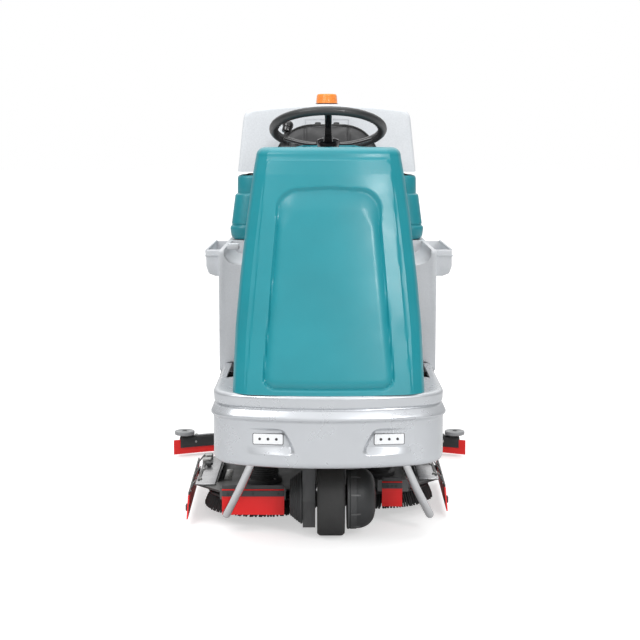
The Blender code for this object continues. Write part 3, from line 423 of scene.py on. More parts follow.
def side_circle(centre, along, radius, count, shift=0.5):
    """Fastener places round an axis that runs across the machine, facing outwards."""
    way = (math.copysign(1, along), 0, 0)
    return [(centre + Vector((along, radius * math.cos(a), radius * math.sin(a))), way)
            for a in angles(count, shift)]


def edge_distance(points, polygon):
    """Signed distance from 2-D points to a closed outline, negative inside."""
    polygon = np.asarray(polygon, float)
    best = np.full(len(points), 1e9)
    inside = np.zeros(len(points), bool)
    for a, b in zip(polygon, np.roll(polygon, -1, axis=0)):
        edge = b - a
        share = np.clip(((points - a) @ edge) / (edge @ edge), 0, 1)
        best = np.minimum(best, np.linalg.norm(points - a - share[:, None] * edge, axis=1))
        crosses = (a[1] > points[:, 1]) != (b[1] > points[:, 1])
        rise = edge[1] if abs(edge[1]) > 1e-12 else 1e-12
        inside ^= crosses & (points[:, 0] < a[0] + (points[:, 1] - a[1]) * edge[0] / rise)
    return np.where(inside, -best, best)


def rounded(outline, radius, steps=6):
    """A closed outline with its corners rounded."""
    result = []
    count = len(outline)
    for i in range(count):
        corner = Vector(outline[i])
        before, after = Vector(outline[i - 1]), Vector(outline[(i + 1) % count])
        reach = min(radius, (before - corner).length * 0.49, (after - corner).length * 0.49)
        start = corner + (before - corner).normalized() * reach
        end = corner + (after - corner).normalized() * reach
        for k in range(steps + 1):
            t = k / steps
            result.append(tuple(bend(start, corner, end, t)))
    return result


def smooth_step(value):
    value = np.clip(value, 0.0, 1.0)
    return value * value * (3 - 2 * value)


def skin(name, rows, thickness, body, finish, angle=40.0):
    """A sheet through rows of points, thickened inwards."""
    count = len(rows[0])
    points = np.concatenate(rows) + np.array(ORIGIN)
    faces = []
    for r in range(len(rows) - 1):
        start = r * count
        faces += [(start + i, start + i + 1, start + count + i + 1, start + count + i)
                  for i in range(count - 1)]
    mesh = bpy.data.meshes.new(name)
    mesh.from_pydata(points.tolist(), [], faces)
    bm = bmesh.new()
    bm.from_mesh(mesh)
    obj = piece(name, bm, body, finish, angle)
    centre = sum((v.co for v in obj.data.vertices), Vector()) / len(obj.data.vertices)
    sample = obj.data.polygons[len(obj.data.polygons) // 3]
    if (sample.center - centre).dot(sample.normal) < 0:
        obj.data.flip_normals()
    solid = obj.modifiers.new("wall", "SOLIDIFY")
    solid.thickness = thickness
    solid.offset = -1
    applied(obj)
    obj.data.shade_smooth()
    obj.data.set_sharp_from_angle(angle=math.radians(angle))
    return obj


def mirrored(points):
    return list(points) + [(-x, y) for x, y in reversed(points)]


# ---- Camera, floor and light ---------------------------------------------------------------------
LENS, SENSOR = 75.375, 36.0
CAMERA_PLACE = (0.0013, -4.455, 1.17)
CAMERA_TILT = math.radians(82.6)
FLOOR_REACH = 60
FLOOR_GLOW = 0.52


def camera():
    data = bpy.data.cameras.new("view")
    data.lens = LENS
    data.sensor_width = SENSOR
    obj = bpy.data.objects.new("view", data)
    obj.location = CAMERA_PLACE
    obj.rotation_euler = (CAMERA_TILT, 0, 0)
    bpy.context.scene.collection.objects.link(obj)
    bpy.context.scene.camera = obj


def area_light(name, place, target, size, power):
    data = bpy.data.lights.new(name, "AREA")
    data.shape = "RECTANGLE"
    data.size, data.size_y = size
    data.energy = power
    obj = bpy.data.objects.new(name, data)
    obj.location = place
    obj.rotation_mode = "QUATERNION"
    obj.rotation_quaternion = (Vector(target) - Vector(place)).to_track_quat("-Z", "Y")
    bpy.context.scene.collection.objects.link(obj)


def calculated(nodes, operation):
    node = added(nodes, "Math")
    node.operation = operation
    return node


def surroundings():
    """A soft sky: bright overhead, darker at the horizon and to the sides, plain white to the camera."""
    world = bpy.data.worlds.new("studio")
    world.use_nodes = True
    nodes, links = world.node_tree.nodes, world.node_tree.links
    nodes["Background"].inputs["Color"].default_value = (*WHITE, 1)
    coords = added(nodes, "TexCoord")
    split = added(nodes, "SeparateXYZ")
    links.new(coords.outputs["Generated"], split.inputs["Vector"])
    sky = added(nodes, "MapRange", From_Min=-0.10, From_Max=0.42, To_Min=0.30, To_Max=1.10)
    links.new(split.outputs["Z"], sky.inputs["Value"])
    aside = calculated(nodes, "ABSOLUTE")
    links.new(split.outputs["X"], aside.inputs[0])
    dim = added(nodes, "MapRange", From_Min=0.25, From_Max=1.0, To_Min=1.20, To_Max=0.20)
    links.new(aside.outputs[0], dim.inputs["Value"])
    tone = calculated(nodes, "MULTIPLY")
    links.new(sky.outputs["Result"], tone.inputs[0])
    links.new(dim.outputs["Result"], tone.inputs[1])
    path = added(nodes, "LightPath")
    shown = added(nodes, "Mix", B=1.0)
    links.new(path.outputs["Is Camera Ray"], shown.inputs["Factor"])
    links.new(tone.outputs[0], shown.inputs["A"])
    links.new(shown.outputs["Result"], nodes["Background"].inputs["Strength"])
    bpy.context.scene.world = world


def studio():
    surroundings()
    bpy.context.scene.view_settings.view_transform = "Standard"
    area_light("key", (-2.4, -2.6, 3.4), (0, 0, 0.6), (1.8, 1.2), 46)
    area_light("fill", (1.5, -3.2, 2.0), (0.1, 0, 1.0), (0.5, 0.8), 30)
    area_light("top", (0, 0.2, 4.4), (0, 0, 0.5), (3.4, 3.4), 60)
    bm = bmesh.new()
    bmesh.ops.create_grid(bm, x_segments=2, y_segments=2, size=FLOOR_REACH)
    floor = piece("floor", bm, None, "lens")
    paint = surface("floor_paint", (214, 214, 214), 0.8, grain=40, depth=0.02, mottle=0.008)
    nodes, links = paint.node_tree.nodes, paint.node_tree.links
    seen = added(nodes, "LightPath")
    glow = calculated(nodes, "MULTIPLY")
    glow.inputs[1].default_value = FLOOR_GLOW
    links.new(seen.outputs["Is Camera Ray"], glow.inputs[0])
    nodes["Principled BSDF"].inputs["Emission Color"].default_value = (*WHITE, 1)
    links.new(glow.outputs[0], nodes["Principled BSDF"].inputs["Emission Strength"])
    floor.data.materials[0] = paint


# ---- Front cover ---------------------------------------------------------------------------------
COVER = np.array((  # height, half width, front, back
    (0.4663, 0.277, 0.012, 0.290), (0.651, 0.2696, 0.052, 0.305), (0.799, 0.2565, 0.082, 0.318),
    (0.940, 0.2404, 0.108, 0.330), (1.088, 0.2206, 0.134, 0.342), (1.142, 0.2110, 0.146, 0.346),
))
BAND = 0.034
BOW = 0.036
PANEL_FOOT = ((-0.178, 0.512), (-0.172, 0.497), (-0.158, 0.490), (0.158, 0.490), (0.172, 0.497),
              (0.178, 0.512))
PANEL_TURNS = [math.pi / 2 * i / 8 for i in range(9)]
PANEL_ARC = [(0.085 + 0.0520 * math.cos(a), 0.983 + 0.050 * math.sin(a)) for a in PANEL_TURNS]
COVER_PANEL = [*PANEL_FOOT, *PANEL_ARC, (0.0, 1.0385), *[(-x, z) for x, z in reversed(PANEL_ARC)]]
COVER_FACE = ((-0.2425, 0.440), (0.2425, 0.440), (0.1815, 1.1330), (-0.1815, 1.1330))


def cover_row(half, front, back):
    """Half a level section of the cover, from its middle to its rear edge, as (x, y)."""
    inner = half - BAND
    points = [(x, front + BOW * (x / half) ** 2) for x in np.linspace(0, inner, 56)]
    start = np.array(points[-1])
    turn = np.array((half - 0.0065, front + BOW + 0.013))
    end = np.array((half, front + BOW + 0.034))
    points += [tuple(start + (turn - start) * t) for t in (0.05, 0.15, 0.35, 0.6, 0.82)]
    knee = start + (turn - start) * 0.82
    points += [tuple(bend(knee, turn, end, t)) for t in (0.25, 0.5, 0.75, 1.0)]
    points += [(half, y) for y in np.linspace(end[1], back, 16)[1:]]
    return points


def front_cover():
    heights = np.linspace(COVER[0, 0], COVER[-1, 0], 200)
    rows = []
    for height in heights:
        half, front, back = (np.interp(height, COVER[:, 0], COVER[:, i]) for i in (1, 2, 3))
        rows.append((height, cover_row(half, front, back)))
    for turn in np.linspace(0.12, math.pi / 2, 12):
        swing = 1 - math.cos(turn)
        rows.append((1.142 + 0.025 * math.sin(turn), cover_row(
            0.211 - 0.026 * swing, 0.146 + 0.026 * swing, 0.346 - 0.020 * swing)))
    for share in (0.85, 0.6, 0.35, 0.12):
        rows.append((1.167, cover_row(0.185 * share + 0.01, 0.249 - 0.077 * share,
                                      0.249 + 0.077 * share)))
    grid = []
    for height, half_row in rows:
        row = [(-x, y, height) for x, y in reversed(half_row[1:])] + [(x, y, height) for x, y in half_row]
        grid.append(np.array(row))
    flat = np.concatenate(grid)
    away = edge_distance(flat[:, (0, 2)], rounded(COVER_PANEL, 0.006))
    front_face = smooth_step((0.20 - flat[:, 1] + 0.02) / 0.02) * (flat[:, 2] < 1.12)
    high_up = smooth_step((flat[:, 2] - 0.930) / 0.080)
    reach = 0.020 + 0.040 * high_up
    ramp = np.clip((away + reach) / (reach + 0.006), 0, 1) ** 2.2
    wall = 1 - smooth_step((away - 0.0060) / (0.0060 + 0.0080 * high_up))
    flat[:, 1] += 0.0085 * ramp * wall * front_face
    proud = smooth_step(-edge_distance(flat[:, (0, 2)], rounded(COVER_FACE, 0.022)) / 0.0035)
    flat[:, 1] -= 0.0030 * proud * (flat[:, 1] < 0.24) * (flat[:, 2] < 1.141)
    count = len(grid[0])
    rows = [flat[i * count:(i + 1) * count] for i in range(len(grid))]
    cover = skin("cover_shell", rows, 0.005, "chassis", "teal", 24)
    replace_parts(cover, "front_cover")


# ---- Bumper and lamps ----------------------------------------------------------------------------
BUMPER_HALF, CORNER_X, CORNER_Y = 0.338, 0.26, 0.045
BUMPER_LEVELS = np.array((  # height, inset
    (0.2550, 0.0130), (0.2562, 0.0090), (0.2590, 0.0050), (0.2640, 0.0020), (0.2710, 0.0004),
    (0.2760, 0.0), (0.3860, 0.0), (0.3900, -0.0012), (0.3940, -0.0045), (0.3975, -0.0070),
    (0.4010, -0.0072), (0.4060, -0.0055), (0.4150, -0.0010), (0.4220, 0.0028), (0.4245, 0.0062),
    (0.4270, 0.0070), (0.4295, 0.0058), (0.4315, 0.0030), (0.4350, 0.0018), (0.4560, 0.0006),
    (0.4600, 0.0012), (0.4635, 0.0038), (0.4655, 0.0072), (0.4660, 0.0090),
))
LAMP = oblong(0.1310, 0.3228, 0.2165, 0.3532)
RECESS_TOP, RECESS_LOW = 0.3725, 0.2935


def recess_depth(across, height):
    """How far the lamp recess is set into the bumper's face; it fades towards the outer end."""
    inner = 0.093 + 0.036 * np.clip((height - RECESS_LOW) / (RECESS_TOP - RECESS_LOW), 0, 1) ** 1.4
    inner = inner + 0.016 * np.clip(1 - (height - RECESS_LOW) / 0.016, 0, 1) ** 2
    inner = inner + 0.014 * np.clip(1 - (RECESS_TOP - height) / 0.014, 0, 1) ** 2
    floor = 0.0200 * np.clip(1 - (across - 0.100) / 0.146, 0, 1)
    top = smooth_step((RECESS_TOP - height) / 0.0100)
    low = np.clip((height - RECESS_LOW) / 0.0215, 0, 1)
    end = smooth_step((across - inner) / 0.0120)
    return floor * top * low * end


def bumper_path():
    """Half the bumper's plan from its middle to its rear edge, as (x, y)."""
    points = [(x, CORNER_Y * (x / CORNER_X) ** 2) for x in np.linspace(0, CORNER_X, 92)]
    start = np.array((CORNER_X, CORNER_Y))
    turn = np.array((BUMPER_HALF, CORNER_Y + 2 * CORNER_Y / CORNER_X * (BUMPER_HALF - CORNER_X)))
    end = np.array((BUMPER_HALF, 0.16))
    for t in np.linspace(0.05, 1, 20):
        points.append(tuple(bend(start, turn, end, t)))
    points += [(BUMPER_HALF, y) for y in np.linspace(0.16, 0.617, 70)[1:]]
    return np.array(points)


def bumper():
    path = bumper_path()
    heights = list(BUMPER_LEVELS[:, 0])
    for z in np.concatenate((np.linspace(0.2780, 0.3850, 50), np.linspace(0.3870, 0.4650, 34))):
        if min(abs(z - other) for other in heights) > 0.0008:
            heights.append(z)
    heights.sort()
    profile = [(z, np.interp(z, BUMPER_LEVELS[:, 0], BUMPER_LEVELS[:, 1])) for z in heights]
    profile += [(0.4662, inset) for inset in (0.014, 0.022, 0.0255, 0.040, 0.062)]
    rows = []
    for z, inset in profile:
        inset = np.where(path[:, 1] > 0.286, min(inset, 0.0255), inset)
        x = path[:, 0] * (BUMPER_HALF - inset) / BUMPER_HALF
        y = inset + path[:, 1]
        y[path[:, 1] > 0.60] = path[path[:, 1] > 0.60, 1]
        half = np.column_stack((x, y, np.full(len(x), z)))
        other = half[:0:-1] * (-1, 1, 1)
        rows.append(np.concatenate((other, half)))
    flat = np.concatenate(rows)
    across = np.abs(flat[:, 0])
    facing = (flat[:, 1] < 0.09) & (flat[:, 2] < 0.385)
    flat[:, 1] += np.where(facing, recess_depth(across, flat[:, 2]), 0)
    side = (across > 0.325) & (flat[:, 2] < 0.385)
    slots = np.zeros(len(flat))
    for low in (0.284, 0.308, 0.332, 0.356):
        slot = oblong(0.150, low, 0.270, low + 0.009)
        slots = np.maximum(slots, smooth_step(-edge_distance(flat[:, (1, 2)],
                                                             rounded(slot, 0.004)) / 0.003))
    flat[:, 0] -= np.where(side, np.sign(flat[:, 0]) * slots * 0.006, 0)
    count = len(rows[0])
    rows = [flat[i * count:(i + 1) * count] for i in range(len(rows))]
    shell = skin("bumper_skin", rows, 0.006, "chassis", "silver", 34)
    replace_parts(shell, "bumper_shell")
    block("toe_board", (-0.311, 0.2880, 0.3905), (0.311, 0.2915, 0.4650), "chassis", "dark", 0.001)
    ribs = []
    for i in range(9):
        x = -0.28 + i * 0.07
        ribs.append(block(f"toe_rib_{i}", (x - 0.004, 0.2912, 0.394), (x + 0.004, 0.2932, 0.462), None,
                          "dark", 0.0008))
    merge("toe_board_ribs", ribs, "chassis", "dark")


def merge(name, objects, body, finish):
    """Helper objects as one piece."""
    made = []
    for obj in objects:
        bm = bmesh.new()
        bm.from_mesh(obj.data)
        made.append(bm)
        bpy.data.objects.remove(obj)
    return joined(name, made, body, finish)


LAMP_SLOPE, LAMP_START = 0.128, 0.131


def sheared(obj, side):
    """Lean a lamp piece back towards its outer end, as the bumper's face does."""
    for vertex in obj.data.vertices:
        reach = side * (vertex.co.x - ORIGIN.x) - LAMP_START
        vertex.co.y += LAMP_SLOPE * reach
    return obj


def lamps():
    for side, word in SIDES:
        face = [(side * x, z) for x, z in rounded(LAMP, 0.004)]
        grown = [(side * x, z) for x, z in rounded(oblong(0.1294, 0.3212, 0.2181, 0.3548), 0.005)]
        plate = prism(f"lamp_face_{word}", face, "XZ", 0.0236, 0.0290, "chassis", "lens", 0.0010)
        gasket = prism(f"lamp_gasket_{word}", grown, "XZ", 0.0240, 0.0300, "chassis", "gloss", 0.0006)
        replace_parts(sheared(plate, side), f"headlight_{word}")
        sheared(gasket, side)
        rings, domes = [], []
        for x in (0.1495, 0.1735, 0.1975):
            centre = at(side * x, 0.0237 + LAMP_SLOPE * (x - LAMP_START), 0.3380)
            ring = ((0.0022, 0), (0.0038, 0), (0.0040, 0.0008), (0.0034, 0.0014), (0.0024, 0.0010))
            rings.append(aim(spin_mesh(ring, 20), centre, (0, -1, 0)))
            dome = ((0, 0), (0.0024, 0), (0.0022, 0.0008), (0.0013, 0.0013), (0, 0.0015))
            domes.append(aim(spin_mesh(dome, 20), centre, (0, -1, 0)))
        joined(f"lamp_bezels_{word}", rings, "chassis", "gloss")
        joined(f"lamp_dots_{word}", domes, "chassis", "dark")


# ---- Tanks and lid -------------------------------------------------------------------------------
TRAYS = ((1, "right", 0.4064), (-1, "left", 0.397))


def solution_tank():
    side = (
        (0.620, 0.436), (0.620, 0.8345), (1.425, 0.8345), (1.437, 0.690), (1.437, 0.420),
        (1.330, 0.300), (0.700, 0.300), (0.664, 0.330), (0.664, 0.436),
    )
    tank = prism("tank_body", rounded(side, 0.014, 3), "YZ", -0.355, 0.355, None, "tank", 0.012, 3)
    for sign, word, reach in TRAYS:
        outline = [
            (sign * x, z) for x, z in (
                (0.335, 0.748), (reach - 0.030, 0.748), (reach - 0.008, 0.756), (reach, 0.780),
                (reach, 0.834),
                (0.335, 0.834))
        ]
        tray_body = prism(f"tray_body_{word}", outline, "XZ", 0.636, 1.056, None, "tank", 0.006, 3)
        tank = combined(tank, [tray_body], "UNION")
    cutters = []
    for sign, reach in ((1, 0.4000), (-1, 0.3908)):
        low, high = sorted((sign * 0.352, sign * reach))
        floor = (0.766, 0.782) if sign > 0 else (0.782, 0.766)
        outline = rounded(((low, floor[0]), (high, floor[1]), (high, 0.92), (low, 0.92)), 0.010, 4)
        cutters.append(prism(f"well_{sign}", outline, "XZ", 0.646, 1.044, None, "tank"))
    half = [(0.276, 0.785), (0.300, 0.7865), (0.318, 0.792), (0.330, 0.802), (0.337, 0.815),
            (0.341, 0.86)]
    cutters.append(prism("scoop", mirrored(half), "XZ", 0.55, 1.062, None, "tank"))
    cutters.append(block("bay", (-0.235, 0.665, 0.450), (0.235, 1.040, 0.90), None, "tank", 0.010))
    motor_bay = ((0, 0), (0.085, 0), (0.085, 0.3), (0, 0.3))
    cutters.append(turned("motor_bay", motor_bay, at(0, 1.250, 0.600), (0, 0, 1), None, "tank", 48))
    tank = combined(tank, cutters)
    tank = rounded_edges(tank, 0.0022, 2, 40.0)
    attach(tank, "chassis")
    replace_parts(tank, "solution_tank")
    for sign, word, reach in TRAYS:
        lip = [at(sign * (reach - 0.003), y, 0.8335) for y in (0.640, 1.052)]
        tube(f"tray_lip_{word}", lip, 0.0042, "chassis", "tank")
        inner, outer = sign * 0.353, sign * (reach + 0.0028)
        ledge = rounded(oblong(inner, 0.812, outer, 0.8185), 0.002, 3)
        prism(f"tray_step_{word}", ledge, "XZ", 0.6335, 0.6365, "chassis", "tank", 0.0008)
    block("latch_block", (-0.327, 0.626, 0.8347), (-0.289, 0.668, 0.8500), "chassis", "tank", 0.004)
    block("latch_top", (-0.325, 0.628, 0.8502), (-0.291, 0.666, 0.8535), "chassis", "lid", 0.0014)
    hook = [(0.3560, 0.758), (0.4180, 0.758), (0.4340, 0.774), (0.4370, 0.800), (0.4260, 0.800),
            (0.4220, 0.782),
            (0.4080, 0.770), (0.3560, 0.770)]
    prism("hose_hook", [(-x, z) for x, z in hook], "XZ", 1.0650, 1.0950, "chassis", "tank", 0.003)
    for side, word in SIDES:
        rib = []
        for y in (0.72, 0.84, 0.96, 1.16, 1.28):
            low, high = sorted((side * 0.3545, side * 0.3585))
            low_corner, high_corner = (low, y - 0.030, 0.47), (high, y + 0.030, 0.70)
            rib.append(block(f"rib_{word}_{y}", low_corner, high_corner, None, "tank", 0.0018))
        merge(f"tank_panels_{word}", rib, "chassis", "tank")


CORNER_STEPS = 12


def recovery_level(height, half, front, back, radius=0.055):
    """A level section of the recovery tank with rounded corners."""
    points = []
    for cx, cy, start in ((half - radius, front + radius, -90), (half - radius, back - radius, 0)):
        for i in range(CORNER_STEPS + 1):
            angle = math.radians(start + 90 * i / CORNER_STEPS)
            points.append((cx + radius * math.cos(angle), cy + radius * math.sin(angle)))
    return [at(x, y, height) for x, y in mirrored(points)]


def recovery_tank():
    levels = (
        (0.8380, 0.3380, 1.0780, 1.430), (0.8440, 0.3435, 1.0745, 1.436),
        (0.8500, 0.3460, 1.0730, 1.437), (0.8720, 0.3490, 1.0720, 1.437),
        (0.8780, 0.3488, 1.0722, 1.437), (0.8830, 0.3472, 1.0730, 1.437),
        (0.8860, 0.3432, 1.0748, 1.436), (0.8905, 0.3424, 1.0752, 1.436),
        (0.8935, 0.3440, 1.0737, 1.437), (0.8960, 0.3437, 1.0741, 1.437),
        (0.9920, 0.3312, 1.0815, 1.432), (0.9965, 0.3296, 1.0825, 1.432),
        (0.9995, 0.3250, 1.0850, 1.431), (1.0015, 0.3225, 1.0868, 1.431),
        (1.0045, 0.3226, 1.0864, 1.431), (1.0540, 0.3220, 1.0878, 1.431),
        (1.0600, 0.3208, 1.0888, 1.4305), (1.0635, 0.3192, 1.0902, 1.430),
        (1.0650, 0.3172, 1.0918, 1.429),
    )
    tank = piece("recovery_body", rings_mesh([recovery_level(*row) for row in levels]), None, "teal", 30)
    collar = piece("collar_body", rings_mesh([
        recovery_level(1.050, 0.262, 1.120, 1.385, 0.030),
        recovery_level(1.074, 0.262, 1.120, 1.385, 0.030),
        recovery_level(1.0765, 0.2595, 1.1225, 1.3825, 0.028)]), None, "teal", 30)
    tank = combined(tank, [collar], "UNION")
    hollow = piece("inside", rings_mesh([
        recovery_level(0.850, 0.335, 1.083, 1.427, 0.050),
        recovery_level(0.893, 0.333, 1.084, 1.427, 0.050),
        recovery_level(0.998, 0.312, 1.095, 1.422, 0.050)]), None, "teal")
    mouth = piece("mouth", rings_mesh([
        recovery_level(z, 0.250, 1.132, 1.373, 0.018) for z in (0.98, 1.12)]), None, "teal")
    tank = combined(tank, [hollow, mouth])
    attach(tank, "chassis")
    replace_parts(tank, "recovery_tank")
    outline = rounded(((0.292, 1.112), (0.292, 1.398), (-0.292, 1.398), (-0.292, 1.112)), 0.04)
    seal = [at(x, y, 1.0655) for x, y in outline]
    tube("lid_seal", seal, 0.0030, "chassis", "rubber", closed=True, resolution=3)
    fasteners("recovery_bolts", [(at(x, 1.4360, 0.860), (0, 1, 0)) for x in (-0.25, -0.08, 0.08, 0.25)],
              0.005, "chassis")


def lid_profile(inset=0.0):
    half = [(0.319 - inset, 1.078), (0.3185 - inset, 1.084), (0.299 - inset, 1.262)]
    start = Vector((0.299 - inset, 1.262))
    corner = Vector((0.2955 - inset, 1.300 - inset))
    end = Vector((0.256, 1.302 - inset))
    for i in range(1, 13):
        t = i / 12
        half.append(tuple(bend(start, corner, end, t)))
    half += [(x, 1.318 - inset - 0.016 * (x / 0.256) ** 2) for x in (0.22, 0.18, 0.135, 0.09, 0.045)]
    return mirrored(half)


def tank_lid():
    rings = []
    soft = 0.014
    turns = [math.pi / 2 * i / 6 for i in range(7)]
    for turn in turns:
        rings.append((soft * (1 - math.sin(turn)), 1.100 + soft * (1 - math.cos(turn))))
    for turn in reversed(turns):
        rings.append((soft * (1 - math.sin(turn)), 1.405 - soft * (1 - math.cos(turn))))
    outlines = [[at(x, y, z) for x, z in lid_profile(inset)] for inset, y in rings]
    lid = piece("lid_body", rings_mesh(outlines), None, "lid", 30)
    door = oblong(-0.0775, 1.06, 0.0775, 1.2635)
    door_in = oblong(-0.0757, 1.05, 0.0757, 1.2617)
    seam = combined(prism("seam", door, "XZ", 1.080, 1.1036, None, "lid"),
                    [prism("seam_core", door_in, "XZ", 1.07, 1.12, None, "lid")])
    hollow = prism("inside", [(x, z - (0.02 if z < 1.09 else 0)) for x, z in lid_profile(0.011)], "XZ",
                   1.111, 1.394, None, "lid")
    lid = combined(lid, [seam, hollow])
    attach(lid, "tank_lid")
    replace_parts(lid, "tank_lid")
    trim = []
    for side in (-1, 1):
        trim.append(aim(spin_mesh(((0, 0), (0.010, 0), (0.011, 0.002), (0.009, 0.004), (0, 0.0045)), 28),
                        at(side * 0.20, 1.4045, 1.15), (0, 1, 0)))
    joined("lid_buttons", trim, "tank_lid", "dark")
    for side, word in SIDES:
        low, high = sorted((side * 0.315, side * 0.3195))
        block(f"lid_latch_{word}", (low - 0.001, 1.22, 1.086), (high + 0.001, 1.27, 1.118), "tank_lid",
              "dark", 0.0012)


def beacon():
    base = ((0, 1.3166), (0.0415, 1.3166), (0.0420, 1.3195), (0.0405, 1.3225), (0, 1.3228))
    turned("beacon_base", base, at(0, 1.200, 0), (0, 0, 1), "tank_lid", "dark", 64)
    profile = [(0, 1.3230), (0.0385, 1.3230), (0.0390, 1.3250)]
    for i in range(6):
        z = 1.3265 + i * 0.0042
        radius = 0.0383 - i * 0.0004
        profile += [(radius, z), (radius + 0.0005, z + 0.0010), (radius + 0.0005, z + 0.0026),
                    (radius, z + 0.0036)]
    profile += [(0.0355, 1.3525), (0.0340, 1.3556), (0.0310, 1.3570), (0.012, 1.3570), (0, 1.3570)]
    dome = turned("beacon_dome", profile, at(0, 1.200, 0), (0, 0, 1), "tank_lid", "amber", 64)
    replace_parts(dome, "beacon")


# ---- Steering and dash ---------------------------------------------------------------------------
RIM_CENTRE = at(0, 0.420, 1.220)
TILT = math.radians(18.5)
UP_AXIS = Vector((0, math.sin(TILT), math.cos(TILT)))
RIM_RADIUS = 0.167


def steering_wheel():
    right = Vector((1, 0, 0))
    ahead = UP_AXIS.cross(right)
    circle = [
        RIM_CENTRE + right * RIM_RADIUS * math.cos(a) + ahead * RIM_RADIUS * math.sin(a)
        for a in angles(96)
    ]
    rim = tube("wheel_rim", circle, 0.0135, "steering_wheel", "grip", closed=True, resolution=7)
    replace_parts(rim, "steering_wheel")
    notches = []
    for a in angles(54):
        out = right * math.cos(a) + ahead * math.sin(a)
        point = RIM_CENTRE + out * (RIM_RADIUS - 0.0120) - UP_AXIS * 0.0062
        bump = ((0, 0), (0.0030, 0), (0.0026, 0.0018), (0, 0.0026))
        notches.append(aim(spin_mesh(bump, 8), point, (-out - UP_AXIS * 0.5).normalized()))
    joined("rim_grips", notches, "steering_wheel", "grip", 60)
    for number, degrees in enumerate((-90, 30, 150)):
        angle = math.radians(degrees)
        outward = right * math.cos(angle) + ahead * math.sin(angle)
        sideways = UP_AXIS.cross(outward)
        rings = []
        for reach, drop, width, thick in (
            (0.020, 0.048, 0.0165, 0.0060), (0.045, 0.0455, 0.0140, 0.0060),
            (0.075, 0.0375, 0.0115, 0.0056), (0.105, 0.0265, 0.0105, 0.0054),
            (0.135, 0.0140, 0.0104, 0.0052), (0.164, 0.0010, 0.0108, 0.0050),
        ):
            centre = RIM_CENTRE + outward * reach - UP_AXIS * drop
            rings.append([
                centre + sideways * width * math.copysign(abs(math.cos(a)) ** 0.6, math.cos(a))
                + UP_AXIS * thick * math.copysign(abs(math.sin(a)) ** 0.6, math.sin(a))
                for a in angles(20, 0.5)
            ])
        piece(f"wheel_spoke_{number}", rings_mesh(rings), "steering_wheel", "gloss", 50)
    turn = math.radians(144)
    foot = RIM_CENTRE + (right * math.cos(turn) + ahead * math.sin(turn)) * RIM_RADIUS
    spinner = (
        (0, 0.004), (0.0068, 0.004), (0.0064, 0.022), (0.0084, 0.0250), (0.0148, 0.0265),
        (0.0156, 0.0290), (0.0156, 0.0395), (0.0144, 0.0410), (0.0144, 0.0424), (0.0166, 0.0436),
        (0.0172, 0.0490), (0.0162, 0.0555), (0.0124, 0.0605), (0, 0.0620),
    )
    turned("wheel_spinner", spinner, foot, UP_AXIS + right * 0.2, "steering_wheel", "gloss", 40)
    clamp = ((0, -0.017), (0.0085, -0.017), (0.0100, -0.0150), (0.0100, 0.0150), (0.0085, 0.017),
             (0, 0.017))
    turned("spinner_clamp", clamp, foot, UP_AXIS, "steering_wheel", "dark", 32)
    hub = (
        (0, -0.016), (0.024, -0.016), (0.030, -0.008), (0.036, 0.000), (0.0365, 0.008), (0.034, 0.0115),
        (0.026, 0.0125), (0.0255, 0.0112), (0.0240, 0.0112), (0.0235, 0.0140), (0.018, 0.0168),
        (0, 0.0180),
    )
    turned("wheel_hub", hub, RIM_CENTRE - UP_AXIS * 0.048, UP_AXIS, "steering_wheel", "gloss", 48)


def dash():
    column = RIM_CENTRE - UP_AXIS * 0.150
    boot = [(0, 0.0), (0.030, 0.0)]
    for i in range(5):
        boot += [(0.0305 - i * 0.0012, 0.006 + i * 0.010), (0.0275 - i * 0.0010, 0.011 + i * 0.010)]
    boot += [(0.0235, 0.060), (0.0215, 0.074), (0, 0.074)]
    turned("column_boot", boot, column, UP_AXIS, "chassis", "dark", 48)
    for side, word in SIDES:
        pod = ((0, 0), (0.012, 0), (0.0135, 0.003), (0.0135, 0.030), (0.0105, 0.036), (0, 0.037))
        start = column + UP_AXIS * 0.036 + Vector((side * 0.006, 0, 0))
        turned(f"column_pod_{word}", pod, start, (side, 0, 0.15), "chassis", "dark", 32)
    low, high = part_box("direction_lever")
    tip = Vector((low.x + 0.014, (low.y + high.y) / 2 + 0.004, high.z - 0.014))
    rings = []
    for i in range(5):
        ring = ((0.0050, 0), (0.0122, 0.0006), (0.0130, 0.0020), (0.0122, 0.0034), (0.0050, 0.0040))
        rings.append(aim(spin_mesh(ring, 28), tip + Vector((0, 0, -0.011 + i * 0.0048)), (0, 0, 1)))
    joined("lever_rings", rings, "direction_lever", "dark")
    dash_low, dash_high = at(0, 0.430, 1.090), at(0, 0.352, 1.140)
    slope = (dash_high - dash_low).normalized()
    normal = slope.cross(Vector((1, 0, 0))).normalized()
    normal = -normal if normal.z < 0 else normal
    places = []
    for x in (-0.185, 0.185):
        for along in (0.18, 0.82):
            point = dash_low.lerp(dash_high, along)
            places.append((Vector((ORIGIN.x + x, point.y, point.z)), tuple(normal)))
    fasteners("dash_screws", places, 0.0034, "chassis")
    frame_line = [dash_low.lerp(dash_high, v) + Vector((u, 0, 0))
                  for u, v in oblong(0.035, 0.16, 0.082, 0.84)]
    plate = rings_mesh([[p + normal * n for p in frame_line] for n in (0.0002, 0.0030)])
    rounded_edges(piece("gauge_plate", plate, "chassis", "gloss"), 0.0008, 2)
    dial = ((0, 0.0), (0.0125, 0.0), (0.0135, 0.002), (0.0125, 0.0040), (0.0105, 0.0040),
            (0.0100, 0.0026), (0, 0.0026))
    turned("hour_gauge", dial, dash_low.lerp(dash_high, 0.5) + Vector((0.0585, 0, 0)) + normal * 0.003,
           normal,
           "chassis", "steel", 40)


